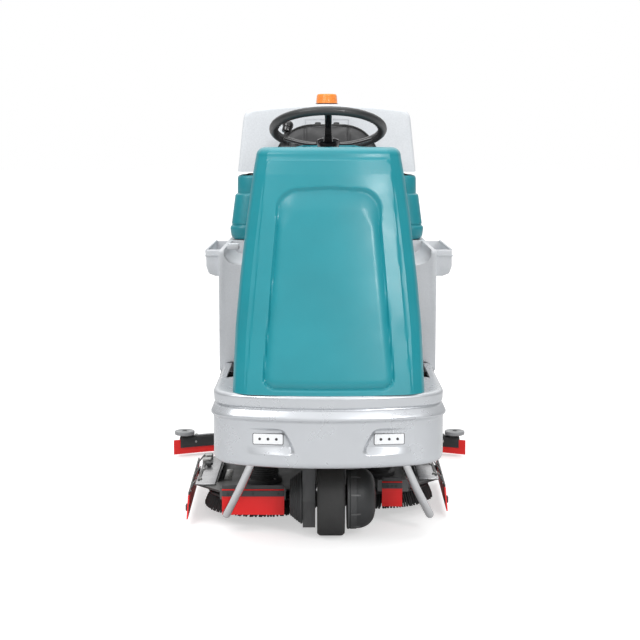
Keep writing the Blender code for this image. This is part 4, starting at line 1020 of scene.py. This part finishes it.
# ---- Seat ----------------------------------------------------------------------------------------
def swollen(name, obj, pressure, cap, keep_low=None):
    """Puff a closed shape like a filled cushion, with each point's travel capped."""
    remesh = obj.modifiers.new("voxels", "REMESH")
    remesh.mode = "VOXEL"
    remesh.voxel_size = 0.006
    applied(obj)
    start = np.array([v.co for v in obj.data.vertices])
    cloth = obj.modifiers.new("cloth", "CLOTH")
    cloth.settings.quality = 4
    cloth.settings.mass = 0.3
    cloth.settings.tension_stiffness = 15
    cloth.settings.compression_stiffness = 15
    cloth.settings.bending_stiffness = 0.6
    cloth.settings.use_pressure = True
    cloth.settings.uniform_pressure_force = pressure
    cloth.settings.effector_weights.gravity = 0
    cloth.collision_settings.use_collision = False
    cloth.collision_settings.use_self_collision = False
    cloth.point_cache.frame_start = 1
    cloth.point_cache.frame_end = 20
    for number in range(1, 21):
        bpy.context.scene.frame_set(number)
    applied(obj)
    bpy.context.scene.frame_set(1)
    moved = np.array([v.co for v in obj.data.vertices])
    shift = moved - start
    length = np.linalg.norm(shift, axis=1, keepdims=True)
    shift *= np.minimum(1, cap / np.maximum(length, 1e-9))
    moved = start + shift
    if keep_low is not None:
        moved[:, 2] = np.maximum(moved[:, 2], keep_low)
    obj.data.vertices.foreach_set("co", moved.ravel())
    smooth = obj.modifiers.new("smooth", "SMOOTH")
    smooth.iterations = 6
    smooth.factor = 0.5
    split = obj.modifiers.new("split", "SUBSURF")
    split.levels = 1
    split.render_levels = 1
    applied(obj)
    obj.data.shade_smooth()
    obj.name = name
    return obj


def filling(obj, low, high, margin):
    """Stretch a cushion so that it fills a box, less a margin."""
    data = np.array([v.co for v in obj.data.vertices])
    least, most = data.min(axis=0), data.max(axis=0)
    start, end = np.array(low) + margin, np.array(high) - margin
    data = start + (data - least) * (end - start) / (most - least)
    obj.data.vertices.foreach_set("co", data.ravel())
    return obj


def grooved(obj, axis, lines, width, depth, toward):
    """Press stitched channels into a cushion's top, across one axis."""
    data = np.array([v.co for v in obj.data.vertices])
    normals = np.array([v.normal for v in obj.data.vertices])
    facing = np.clip(normals @ np.array(toward, float), 0, 1) ** 2
    for line in lines:
        near = np.exp(-((data[:, axis] - line) / width) ** 2)
        data -= (near * depth * facing)[:, None] * np.array(toward, float)
    obj.data.vertices.foreach_set("co", data.ravel())
    return obj


def seat():
    low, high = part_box("seat_cushion")
    centre = (low + high) / 2
    base = block("cushion", (low.x - ORIGIN.x + 0.010, low.y - ORIGIN.y + 0.010, low.z + 0.0005),
                 (high.x - ORIGIN.x - 0.010, high.y - ORIGIN.y - 0.010, high.z - 0.014), None, "vinyl",
                 0.028, 4)
    pad = filling(swollen("seat_pad", base, 4.0, 0.014, low.z + 0.0006), low, high, 0.0015)
    grooved(pad, 0, (centre.x - 0.110, centre.x + 0.110), 0.005, 0.006, (0, 0, 1))
    grooved(pad, 1, (centre.y - 0.045, centre.y + 0.045), 0.004, 0.003, (0, 0, 1))
    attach(pad, "seat")
    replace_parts(pad, "seat_cushion")
    loop = rounded(oblong(low.x + 0.004, low.y + 0.004, high.x - 0.004, high.y - 0.004), 0.035)
    tube("seat_piping", [Vector((x, y, low.z + 0.030)) for x, y in loop], 0.0032, "seat", "rubber", True,
         3)
    low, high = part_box("seat_back")
    centre = (low + high) / 2
    half = [(0.196, 0.908), (0.203, 0.960), (0.194, 1.078), (0.171, 1.166), (0.132, 1.219),
            (0.078, 1.242)]
    base = prism("back", rounded(mirrored(half), 0.045, 6), "XZ", 0.9390, 1.0030, None, "vinyl", 0.016, 4)
    rest = filling(swollen("back_pad", base, 4.0, 0.012), low, high, 0.0015)
    grooved(rest, 0, (centre.x - 0.075, centre.x + 0.075), 0.005, 0.006, (0, -1, 0))
    grooved(rest, 2, (1.02, 1.11), 0.004, 0.004, (0, -1, 0))
    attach(rest, "seat")
    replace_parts(rest, "seat_back")
    outline = mirrored(half)
    loop = [at(x, 0.9450, z) for x, z in rounded(outline, 0.03, 5)]
    tube("back_piping", loop, 0.0030, "seat", "rubber", True, 3)
    grips = []
    for x in (-0.032, 0.032):
        grips.append(aim(spin_mesh(((0, 0), (0.010, 0), (0.011, 0.003), (0.009, 0.008), (0, 0.009)), 24),
                         at(x, 0.975, 1.2435), (0, 0, 1)))
    joined("back_buttons", grips, "seat", "dark")
    places = [(at(x, 1.0222, z), (0, 1, 0)) for x in (-0.09, 0.09) for z in (0.84, 0.96, 1.03)]
    fasteners("back_plate_bolts", places, 0.0055, "seat")


# ---- Wheels and drive ----------------------------------------------------------------------------
SHOULDER = 0.012


def tyre(name, node, radius, bore, half, body, grooves):
    """A solid tyre with rounded shoulders, sidewall rings and shallow tread lines."""
    edge = [(bore, -half + 0.004), (bore + 0.006, -half + 0.002)]
    for ring in (0.35, 0.55, 0.75):
        r = bore + (radius - bore) * ring
        edge += [(r - 0.0030, -half + 0.0010), (r - 0.0018, -half), (r + 0.0018, -half),
                 (r + 0.0030, -half + 0.0010)]
    for i in range(7):
        a = math.pi / 2 * i / 6
        edge.append((radius - SHOULDER + SHOULDER * math.sin(a),
                     -half + SHOULDER - SHOULDER * math.cos(a)))
    tread = []
    for line in grooves:
        tread += [(radius, line - 0.0016), (radius - 0.0024, line - 0.0010),
                  (radius - 0.0024, line + 0.0010), (radius, line + 0.0016)]
    profile = [*edge, *tread, *[(r, -along) for r, along in reversed(edge)]]
    obj = turned(name, profile, middle(node), (1, 0, 0), body, "tyre", 96, 30)
    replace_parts(obj, node)


def drive():
    tyre("drive_tread", "drive_tyre", 0.115, 0.080, 0.0415, "drive_wheel", ())
    centre = middle("drive_hub")
    hub = evened(((0, -0.036), (0.016, -0.036), (0.020, -0.034), (0.050, -0.034), (0.056, -0.030),
                  (0.0797, -0.030)))
    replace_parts(turned("drive_wheel_hub", hub, centre, (1, 0, 0), "drive_wheel", "cast", 64), "drive_hub")
    low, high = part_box("drive_gear_case")
    face = Vector((high.x, (low.y + high.y) / 2, (low.z + high.z) / 2))
    gear = (
        (0, 0.0004), (0.0775, 0.0004), (0.0795, 0.0028), (0.0795, 0.0060), (0.0765, 0.0072),
        (0.0755, 0.0105), (0.0740, 0.0135), (0.0705, 0.0145), (0.0700, 0.0180), (0.0690, 0.0205),
        (0.0655, 0.0215), (0.0650, 0.0255), (0.0610, 0.0270), (0.0600, 0.0310), (0.0560, 0.0335),
        (0.0555, 0.0375), (0.0300, 0.0380), (0.0290, 0.0389), (0, 0.0390),
    )
    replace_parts(turned("gear_housing", gear, face, (-1, 0, 0), "drive_unit", "cast", 64, edge=0.0005),
                "drive_gear_case")
    fasteners("gear_bolts", side_circle(face, -0.0372, 0.0450, 8), 0.0026, "drive_unit", "cast")
    low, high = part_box("drive_motor")
    face = Vector((low.x, (low.y + high.y) / 2, (low.z + high.z) / 2))
    motor = [(0, 0.0004), (0.0930, 0.0004), (0.0952, 0.0030), (0.0952, 0.0080)]
    motor += [(0.0935, 0.0088), (0.0935, 0.0100), (0.0950, 0.0110), (0.0945, 0.0285), (0.0930, 0.0300)]
    for i in range(13):
        turn = math.pi / 2 * i / 12
        motor.append((0.0450 + 0.0480 * math.cos(turn), 0.0310 + 0.0540 * math.sin(turn)))
    motor += [(0.0440, 0.0862), (0.0180, 0.0880), (0, 0.0882)]
    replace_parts(turned("motor_housing", motor, face, (1, 0, 0), "drive_unit", "cast", 72), "drive_motor")
    fasteners("motor_bolts", side_circle(face, 0.0790, 0.0600, 6), 0.0036, "drive_unit", "dark")
    ribs = []
    for a in angles(10, 0.5):
        way = Vector((0, math.cos(a), math.sin(a)))
        cross = Vector((1, 0, 0)).cross(way) * 0.0022
        path = [(0.0948, 0.0120), (0.0944, 0.0280), (0.0915, 0.0400), (0.0800, 0.0600), (0.0640, 0.0750)]
        outer = [face + way * (r + 0.0010) + Vector((x, 0, 0)) for r, x in path]
        inner = [face + way * (r - 0.0040) + Vector((x, 0, 0)) for r, x in path]
        ribs.append(rings_mesh([[p + cross for p in outer + inner[::-1]],
                                [p - cross for p in outer + inner[::-1]]]))
    joined("motor_ribs", ribs, "drive_unit", "cast")
    fork_low, fork_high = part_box("drive_fork")
    y = (fork_low.y + fork_high.y) / 2
    places = [(Vector((ORIGIN.x + 0.008 + 0.080 * math.cos(a), y + 0.080 * math.sin(a), 0.2334)),
               (0, 0, -1))
              for a in angles(8, 0.5)]
    fasteners("fork_bolts", places, 0.0042, "drive_unit")


def rear_wheels():
    for side, word in SIDES:
        body = f"rear_wheel_{word}"
        tyre(f"rear_tread_{word}", f"rear_tyre_{word}", 0.130, 0.085, 0.033, body, (-0.014, 0.0, 0.014))
        centre = middle(f"rear_hub_{word}")
        hub = evened(((0.0166, -0.034), (0.028, -0.034), (0.031, -0.031), (0.033, -0.012),
                      (0.060, -0.010),
                      (0.068, -0.013), (0.074, -0.022), (0.0847, -0.0285)))
        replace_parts(turned(f"rear_rim_{word}", hub, centre, (1, 0, 0), body, "cast", 72),
                    f"rear_hub_{word}")
        fasteners(f"rear_lugs_{word}", side_circle(centre, side * 0.0105, 0.048, 5, 0.0), 0.0060, body)
        cap = ((0, 0), (0.0155, 0), (0.0155, 0.004), (0.012, 0.009), (0, 0.0105))
        turned(f"axle_cap_{word}", cap, Vector((centre.x + side * 0.0352, centre.y, centre.z)),
               (side, 0, 0),
               "chassis", "zinc", 32)


# ---- Brush deck ----------------------------------------------------------------------------------
BLADE_FLARE = 0.022


def brushes():
    rng = random.Random(7)
    for word in ("left", "right"):
        node = f"brush_{word}"
        low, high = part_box(node)
        centre = (low + high) / 2
        plate = (
            (0, 0.0812), (0.078, 0.0812), (0.080, 0.0806), (0.168, 0.0806), (0.1728, 0.0830),
            (0.1738, 0.0860), (0.1728, 0.0892), (0.150, 0.0906), (0.148, 0.0890), (0.066, 0.0940),
            (0.060, 0.0952), (0.0182, 0.0960), (0.0180, 0.1030), (0, 0.1035),
        )
        disc = turned(f"brush_plate_{word}", plate, Vector((centre.x, centre.y, 0)), (0, 0, 1), node,
                      "dark", 72)
        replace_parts(disc, node)
        tufts = bmesh.new()
        for row in range(9):
            root = 0.086 + row * 0.0098
            count = int(math.tau * root / 0.0085)
            for i in range(count):
                a = math.tau * (i + rng.random() * 0.4) / count
                splay = root + (row / 8) ** 1.5 * 0.017 + 0.003 * rng.random()
                foot = min(splay, 0.1845)
                skew = a + rng.uniform(-0.010, 0.010)
                top = Vector((centre.x + root * math.cos(a), centre.y + root * math.sin(a), 0.0815))
                end = Vector((centre.x + foot * math.cos(skew), centre.y + foot * math.sin(skew),
                              low.z + 0.0004 + 0.0016 * rng.random()))
                bow = (top + end) / 2 + Vector((math.cos(a), math.sin(a), 0)) * 0.002
                width = 0.0026
                rings = []
                for spot, size in ((top, 0.8), (bow, 1.0), (end, 1.35)):
                    rings.append([
                        tufts.verts.new(spot + Vector((math.cos(b), math.sin(b), 0)) * width * size)
                        for b in (a + math.tau * (k + 0.5) / 5 for k in range(5))
                    ])
                for one, two in zip(rings, rings[1:]):
                    for k in range(5):
                        m = (k + 1) % 5
                        tufts.faces.new((one[k], one[m], two[m], two[k]))
                tufts.faces.new(rings[0])
                tufts.faces.new(rings[-1])
        piece(f"brush_bristles_{word}", tufts, node, "bristle", 60)


def skirt(word):
    low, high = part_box(f"skirt_{word}")
    front = high.y - 0.0050
    steps = 46
    rows = []
    for z in np.linspace(low.z, 0.1110, 16):
        fall = (high.z - z) / (high.z - low.z)
        rows.append(np.array([
            (low.x + (high.x - low.x) * i / steps - ORIGIN.x,
             front - ORIGIN.y + 0.0022 + 0.0016 * fall * math.cos(math.pi * i / steps), z)
            for i in range(steps + 1)
        ]))
    sheet = skin(f"skirt_sheet_{word}", rows, 0.003, "brush_deck", "red", 60)
    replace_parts(sheet, f"skirt_{word}")
    middle_x = (low.x + high.x) / 2
    x0, x1 = low.x - ORIGIN.x, high.x - ORIGIN.x
    y0 = front - ORIGIN.y
    block(f"skirt_clamp_{word}", (x0 + 0.001, y0 - 0.0046, 0.1100), (x1 - 0.001, y0 - 0.0004, 0.1282),
          "brush_deck", "paint", 0.0010)
    block(f"skirt_fold_{word}", (x0, y0 - 0.0034, 0.1286), (x1, y0 + 0.0016, 0.1322), "brush_deck", "red",
          0.0010)
    places = [(Vector((x, front - 0.0046, 0.1190)), (0, -1, 0)) for x in
              (middle_x, low.x + 0.018, high.x - 0.018)]
    fasteners(f"skirt_bolts_{word}", places, 0.0032, "brush_deck", "dark")
    block(f"skirt_holder_{word}", (x0 + 0.001, y0 - 0.0020, 0.1326), (x1 - 0.001, y0 + 0.0016, 0.1450),
          "brush_deck", "paint", 0.0012)


def knob(name, place, axis, radius, body, finish="dark"):
    """A fluted hand knob on a collar."""
    made = []
    collar = ((0, 0), (radius * 0.55, 0), (radius * 0.55, radius * 0.5), (0, radius * 0.5))
    made.append(aim(spin_mesh(collar, 20), place, axis))
    rings = []
    for along, size in ((0.5, 0.92), (0.58, 1.0), (1.05, 1.0), (1.18, 0.90), (1.22, 0.72)):
        rings.append([
            Vector((
                radius * size * (1 + 0.10 * math.cos(6 * a)) * math.cos(a),
                radius * size * (1 + 0.10 * math.cos(6 * a)) * math.sin(a), along * radius))
            for a in angles(48)
        ])
    made.append(aim(rings_mesh(rings), place, axis))
    return joined(name, made, body, finish, 40)


def deck_details():
    skirt("left")
    skirt("right")
    for side, word, x, front in ((-1, "left", -0.4196, 0.440), (1, "right", 0.3580, 0.510)):
        inner = x - side * 0.030
        low, high = sorted((x - side * 0.0005, inner))
        wide_low, wide_high = sorted((x - side * 0.0004, x - side * 0.0640))
        block(f"deck_channel_{word}", (wide_low, front - 0.038, 0.1063),
              (wide_high, front + 0.325, 0.1120),
              "brush_deck", "steel", 0.0016)
        flap = [(x - side * 0.0665, 0.1064), (x - side * 0.0690, 0.1064), (x - side * 0.0840, 0.1500),
                (x - side * 0.0815, 0.1500)]
        prism(f"deck_flap_{word}", flap, "XZ", front + 0.010, front + 0.300, "brush_deck", "paint",
              0.0008)
        gusset = [(x - side * 0.0860, 0.1064), (x - side * 0.1100, 0.1064), (x - side * 0.1180, 0.1380),
                  (x - side * 0.0960, 0.1380)]
        prism(f"deck_gusset_{word}", gusset, "XZ", front + 0.030, front + 0.046, "brush_deck", "zinc",
              0.0015)
        for number, shift in enumerate((0.230, 0.290)):
            block(f"deck_bracket_{word}_{number}", (low, front + shift, 0.1122),
                  (high, front + shift + 0.030, 0.1290),
                  "brush_deck", "zinc", 0.0025)
        knob(f"deck_knob_{word}", at(inner + side * 0.004, front + 0.190, 0.1122), (0, 0, 1), 0.0115,
             "brush_deck")
        places = [(at(x - side * 0.012, front + d, 0.1121), (0, 0, 1)) for d in (0.018, 0.150, 0.310)]
        fasteners(f"deck_bolts_{word}", places, 0.0055, "brush_deck")
        node = f"side_holder_{word}"
        low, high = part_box(node)
        x_top = (low.x if side > 0 else high.x) - side * 0.0004 - ORIGIN.x
        front_y, back_y = low.y - ORIGIN.y, high.y - ORIGIN.y
        knee = (low.x if side < 0 else high.x) - ORIGIN.x - side * BLADE_FLARE * (back_y - front_y)
        rail = []
        for y in (front_y, back_y):
            drift = side * BLADE_FLARE * (y - front_y)
            rail.append([at(x + drift, y, z) for x, z in (
                (knee - side * 0.0050, 0.0956), (knee, 0.0956), (knee - side * 0.0006, 0.1045),
                (knee - side * 0.0050, 0.1045))])
        holder = rounded_edges(piece(f"side_rail_{word}", rings_mesh(rail), f"side_blade_{word}",
                                     "paint"), 0.0008, 2)
        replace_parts(holder, node)
        lugs = []
        for i in range(3):
            y = front_y + 0.05 + i * (back_y - front_y - 0.10) / 2
            drift = side * BLADE_FLARE * (y - front_y)
            outline = ((knee + drift - side * 0.0045, 0.098), (knee + drift - side * 0.0005, 0.098),
                       (x_top + side * 0.0005, 0.1285), (x_top - side * 0.0035, 0.1285))
            lugs.append(prism(f"lug_{i}", outline, "XZ", y - 0.014, y + 0.014, None, "zinc", 0.0008, 2))
        merge(f"side_lugs_{word}", lugs, f"side_blade_{word}", "paint")
        runs = [i * (back_y - front_y - 0.06) / 4 for i in range(5)]
        shift = knee - side * 0.0048
        places = [(at(shift + side * BLADE_FLARE * run, front_y + 0.03 + run, 0.1005), (-side, 0, 0))
                  for run in runs]
        fasteners(f"side_bolts_{word}", places, 0.0032, f"side_blade_{word}")
        blade_low, blade_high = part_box(f"side_blade_{word}")
        edge = blade_low.x if side < 0 else blade_high.x
        clips = []
        for y in (blade_low.y + 0.012, blade_high.y - 0.012):
            x0, x1 = sorted((edge - ORIGIN.x - side * 0.0080, edge - ORIGIN.x - side * 0.0200))
            clips.append(block(f"clip_{y}", (x0, y - ORIGIN.y - 0.010, 0.046),
                               (x1, y - ORIGIN.y + 0.010, 0.066),
                               None, "dark", 0.002))
        merge(f"side_clips_{word}", clips, f"side_blade_{word}", "dark")
    for word in ("left", "right"):
        low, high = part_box(f"brush_motor_{word}")
        centre = (low + high) / 2
        profile = [(0, low.z), (0.0615, low.z), (0.0620, low.z + 0.002), (0.0620, low.z + 0.012),
                   (0.0600, low.z + 0.014),
                   (0.0505, low.z + 0.018)]
        for i in range(12):
            z = low.z + 0.023 + i * 0.0070
            profile += [(0.0500, z), (0.0480, z + 0.0008), (0.0480, z + 0.0030), (0.0500, z + 0.0038)]
        profile += [(0.0500, low.z + 0.1080), (0.0460, low.z + 0.1170), (0.0420, low.z + 0.1215),
                    (0.020, low.z + 0.1250),
                    (0, high.z)]
        obj = turned(f"brush_motor_body_{word}", profile, Vector((centre.x, centre.y, 0)), (0, 0, 1),
                     "brush_deck",
                     "cast", 64)
        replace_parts(obj, f"brush_motor_{word}")
        places = [(Vector((centre.x + 0.0555 * math.cos(a), centre.y + 0.0555 * math.sin(a),
                           low.z + 0.0145)), (0, 0, 1))
                  for a in angles(4, 0.5)]
        fasteners(f"brush_motor_bolts_{word}", places, 0.0038, "brush_deck")


# ---- Squeegee ------------------------------------------------------------------------------------
ARM_X = -0.026


def squeegee_curve(x):
    return 1.385 - 0.135 * (x / 0.551) ** 2


def squeegee():
    steps = 60
    xs = [0.526 * (2 * i / steps - 1) for i in range(steps + 1)]
    outline = [(ARM_X + x, squeegee_curve(x) - 0.0085) for x in xs]
    outline += [(ARM_X + x, squeegee_curve(x) + 0.0085) for x in reversed(xs)]
    strip = prism("squeegee_top_strip", outline, "XY", 0.0742, 0.0778, "squeegee_head", "pale", 0.0010)
    outline = [(ARM_X + x, squeegee_curve(x) - 0.0250) for x in xs]
    outline += [(ARM_X + x, squeegee_curve(x) - 0.0206) for x in reversed(xs)]
    prism("squeegee_front_clamp", outline, "XY", 0.0360, 0.0735, "squeegee_head", "dark", 0.0012)
    places, clamp = [], []
    for i in range(-5, 6):
        if i == 0:
            continue
        x = i * 0.094
        y = squeegee_curve(x)
        places.append((at(ARM_X + x, y, 0.0779), (0, 0, 1)))
        clamp.append((at(ARM_X + x, y - 0.0250, 0.0560), (0, -1, 0)))
    fasteners("squeegee_nuts", places, 0.0050, "squeegee_head")
    fasteners("squeegee_clamp_bolts", clamp, 0.0034, "squeegee_head")
    for side, word in SIDES:
        node = f"squeegee_roller_{word}"
        low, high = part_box(node)
        centre = (low + high) / 2
        profile = (
            (0.0095, low.z + 0.0018), (0.0120, low.z + 0.0004), (0.0330, low.z + 0.0004),
            (0.0362, low.z + 0.0012), (0.0375, low.z + 0.0034), (0.0375, low.z + 0.0124),
            (0.0362, low.z + 0.0146), (0.0330, low.z + 0.0154), (0.0240, low.z + 0.0154),
            (0.0225, low.z + 0.0140), (0.0160, low.z + 0.0140), (0.0145, low.z + 0.0154),
            (0.0110, low.z + 0.0154), (0.0095, low.z + 0.0130),
        )
        body = f"roller_{word}"
        wheel = turned(f"roller_wheel_{word}", profile, Vector((centre.x, centre.y, 0)), (0, 0, 1), body,
                       "pale", 56)
        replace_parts(wheel, node)
        bolt = ((0, low.z + 0.001), (0.0072, low.z + 0.001), (0.0072, low.z + 0.0155),
                (0.0060, low.z + 0.0168), (0, high.z))
        turned(f"roller_bolt_{word}", bolt, Vector((centre.x, centre.y, 0)), (0, 0, 1), body, "dark", 6,
               25)
        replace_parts(caster(word), f"squeegee_caster_{word}")
        knob(f"squeegee_knob_{word}", at(ARM_X + side * 0.120, squeegee_curve(0.12), 0.0780), (0, 0, 1),
             0.0145,
             "squeegee_head", "dark")
    collar = ((0.0190, 0.1090), (0.0262, 0.1090), (0.0268, 0.1100), (0.0268, 0.1150), (0.0255, 0.1160),
              (0.0190, 0.1160))
    turned("nozzle_collar", collar, at(ARM_X, 1.381, 0), (0, 0, 1), "squeegee_head", "dark", 40)


def caster(word):
    centre = middle(f"squeegee_caster_{word}")
    profile = evened(((0.0044, -0.0088), (0.0100, -0.0088), (0.0115, -0.0070), (0.0190, -0.0070),
                      (0.0210, -0.0088), (0.0235, -0.0088), (0.0255, -0.0070), (0.0260, -0.0050)))
    return turned(f"caster_wheel_{word}", profile, centre, (1, 0, 0), f"caster_{word}", "tyre", 48)


# ---- Frame, platform, pedals and caps ------------------------------------------------------------
def guards():
    for side, word in SIDES:
        points = eased((
            at(side * 0.162, 0.150, 0.2645), at(side * 0.214, 0.150, 0.2645),
            at(side * 0.262, 0.190, 0.155),
            at(side * 0.314, 0.238, 0.050)), 0.022, 10)
        bar = tube(f"guard_bar_{word}", points, 0.0125, "chassis", "bright", resolution=8)
        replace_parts(bar, f"guard_tube_{word}")
        shoe = ((0, 0), (0.024, 0), (0.025, 0.001), (0.025, 0.0050), (0.024, 0.0060), (0, 0.0060))
        turned(f"guard_foot_{word}", shoe, at(side * 0.190, 0.150, 0.2770), (0, 0, -1), "chassis",
               "paint", 32)


PEDAL_FOOT = (-0.285, 0.3935)
PEDAL_RISE = (-0.0620, 0.1180)


def floor_details():
    ribs = []
    for i in range(14):
        x = -0.286 + i * 0.044
        outline = ((x - 0.0040, 0.3900), (x + 0.0040, 0.3900), (x + 0.0028, 0.3914), (x - 0.0028, 0.3914))
        ribs.append(prism(f"tread_{i}", outline, "XZ", 0.4750 if abs(x) < 0.10 else 0.315, 0.600, None,
                          "dark"))
    merge("platform_treads", ribs, "chassis", "rubber")
    for word, node in (("accelerator", "accelerator_pedal"), ("brake", "brake_pedal")):
        low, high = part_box(node)
        pads = []
        for i in range(7):
            share = 0.26 + i * 0.11
            y = PEDAL_FOOT[0] + PEDAL_RISE[0] * share
            z = PEDAL_FOOT[1] + PEDAL_RISE[1] * share
            width = 0.006 if word == "accelerator" else 0.008
            outline = (
                (y - ORIGIN.y - 0.0010, z - 0.0035), (y - ORIGIN.y + 0.0058, z - 0.0020),
                (y - ORIGIN.y + 0.0058, z + 0.0020), (y - ORIGIN.y - 0.0010, z + 0.0035),
            )
            pads.append(prism(f"{word}_rib_{i}", outline, "YZ", low.x - ORIGIN.x + 0.006 + width,
                              high.x - ORIGIN.x - 0.006 - width, None, "rubber"))
        merge(f"{word}_ribs", pads, node, "rubber")
    for word in ("left", "right"):
        low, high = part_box(f"step_block_{word}")
        steps = []
        for i in range(4):
            z = low.z + 0.004 + i * 0.0085
            steps.append(block(
                f"step_{i}", (low.x - ORIGIN.x + 0.0006, low.y - ORIGIN.y + 0.0005, z),
                (high.x - ORIGIN.x - 0.0006, high.y - ORIGIN.y - 0.0005, z + 0.0062), None, "rubber",
                0.0022))
        core = block("core", (low.x - ORIGIN.x + 0.003, low.y - ORIGIN.y + 0.003, low.z),
                     (high.x - ORIGIN.x - 0.003, high.y - ORIGIN.y - 0.003, high.z - 0.001), None,
                     "rubber", 0.004)
        stack = merge(f"step_bellows_{word}", [core, *steps], "chassis", "rubber")
        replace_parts(stack, f"step_block_{word}")


def cap(node, radius, body):
    low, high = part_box(node)
    centre = Vector(((low.x + high.x) / 2, low.y, (low.z + high.z) / 2))
    depth = high.y - low.y
    rings = []
    for along, size in ((0.0, 0.96), (0.15, 1.0), (0.80, 1.0), (0.95, 0.94), (1.0, 0.86)):
        rings.append([
            Vector((
                radius * size * (1 + 0.022 * math.cos(24 * a)) * math.cos(a) * 0.978,
                radius * size * (1 + 0.022 * math.cos(24 * a)) * math.sin(a) * 0.978, along * depth))
            for a in angles(144)
        ])
    obj = piece(f"{node}_knob", aim(rings_mesh(rings), centre, (0, 1, 0)), body, "dark", 50)
    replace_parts(obj, node)
    across, reach = centre.x - ORIGIN.x, radius * 0.62
    start = (across - reach, low.y - ORIGIN.y + depth - 0.002, centre.z - 0.0040)
    end = (across + reach, high.y - ORIGIN.y + 0.0060, centre.z + 0.0040)
    block(f"{node}_bar", start, end, body, "dark", 0.002)


def chassis_details():
    places = []
    for x in (-0.10, 0.10):
        for y in (0.14, 0.40, 0.62, 0.84, 1.06):
            places.append((at(x, y, 0.2779), (0, 0, -1)))
    fasteners("frame_bolts", places, 0.0060, "chassis")
    pipe = eased((at(0.10, 1.20, 0.240), at(0.10, 1.00, 0.262), at(0.16, 0.70, 0.262),
                  at(0.16, 0.62, 0.262)), 0.03, 8)
    tube("frame_pipe", pipe, 0.0080, "chassis", "rubber")
    for side, word in SIDES:
        x0, x1 = sorted((side * 0.3385, side * 0.3405))
        block(f"side_reflector_{word}", (x0 - 0.0006, 0.50, 0.352), (x1, 0.56, 0.372), "chassis",
              "signal", 0.0008)


NODE_FINISH = {
    "accelerator_pedal": "paint", "battery_pack": "dark", "brake_pedal": "paint",
    "chassis_frame": "paint",
    "console": "dark", "deck_lift_tube": "steel", "deck_plate": "paint", "direction_lever": "dark",
    "drive_fork": "paint", "emergency_stop": "signal", "horn_button": "rubber", "key_switch": "zinc",
    "platform": "rubber", "rear_axle": "paint", "seat_pan": "paint", "side_blade_left": "red",
    "side_blade_right": "red", "side_holder_left": "zinc", "side_holder_right": "zinc",
    "squeegee_arm": "paint", "squeegee_bar": "cast", "squeegee_blade_front": "red",
    "squeegee_blade_rear": "red", "steering_column": "paint", "vacuum_motor": "cast",
}


def carried_over():
    """Better finishes for the CAD nodes that stay, with their hard edges softened."""
    for node, finish in NODE_FINISH.items():
        obj = NODES[node]
        for slot in obj.material_slots:
            slot.material = FINISH[finish]
        bevel = obj.modifiers.new("soft_edges", "BEVEL")
        bevel.width = 0.0012
        bevel.segments = 2
        bevel.limit_method = "ANGLE"
        bevel.angle_limit = math.radians(40)
        bevel.use_clamp_overlap = True


def build():
    camera()
    studio()
    front_cover()
    bumper()
    lamps()
    solution_tank()
    recovery_tank()
    tank_lid()
    beacon()
    steering_wheel()
    dash()
    seat()
    drive()
    rear_wheels()
    brushes()
    deck_details()
    squeegee()
    guards()
    floor_details()
    cap("filler_cap", 0.038, "filler_cap")
    cap("drain_cap", 0.026, "drain_cap")
    chassis_details()
    carried_over()


build()
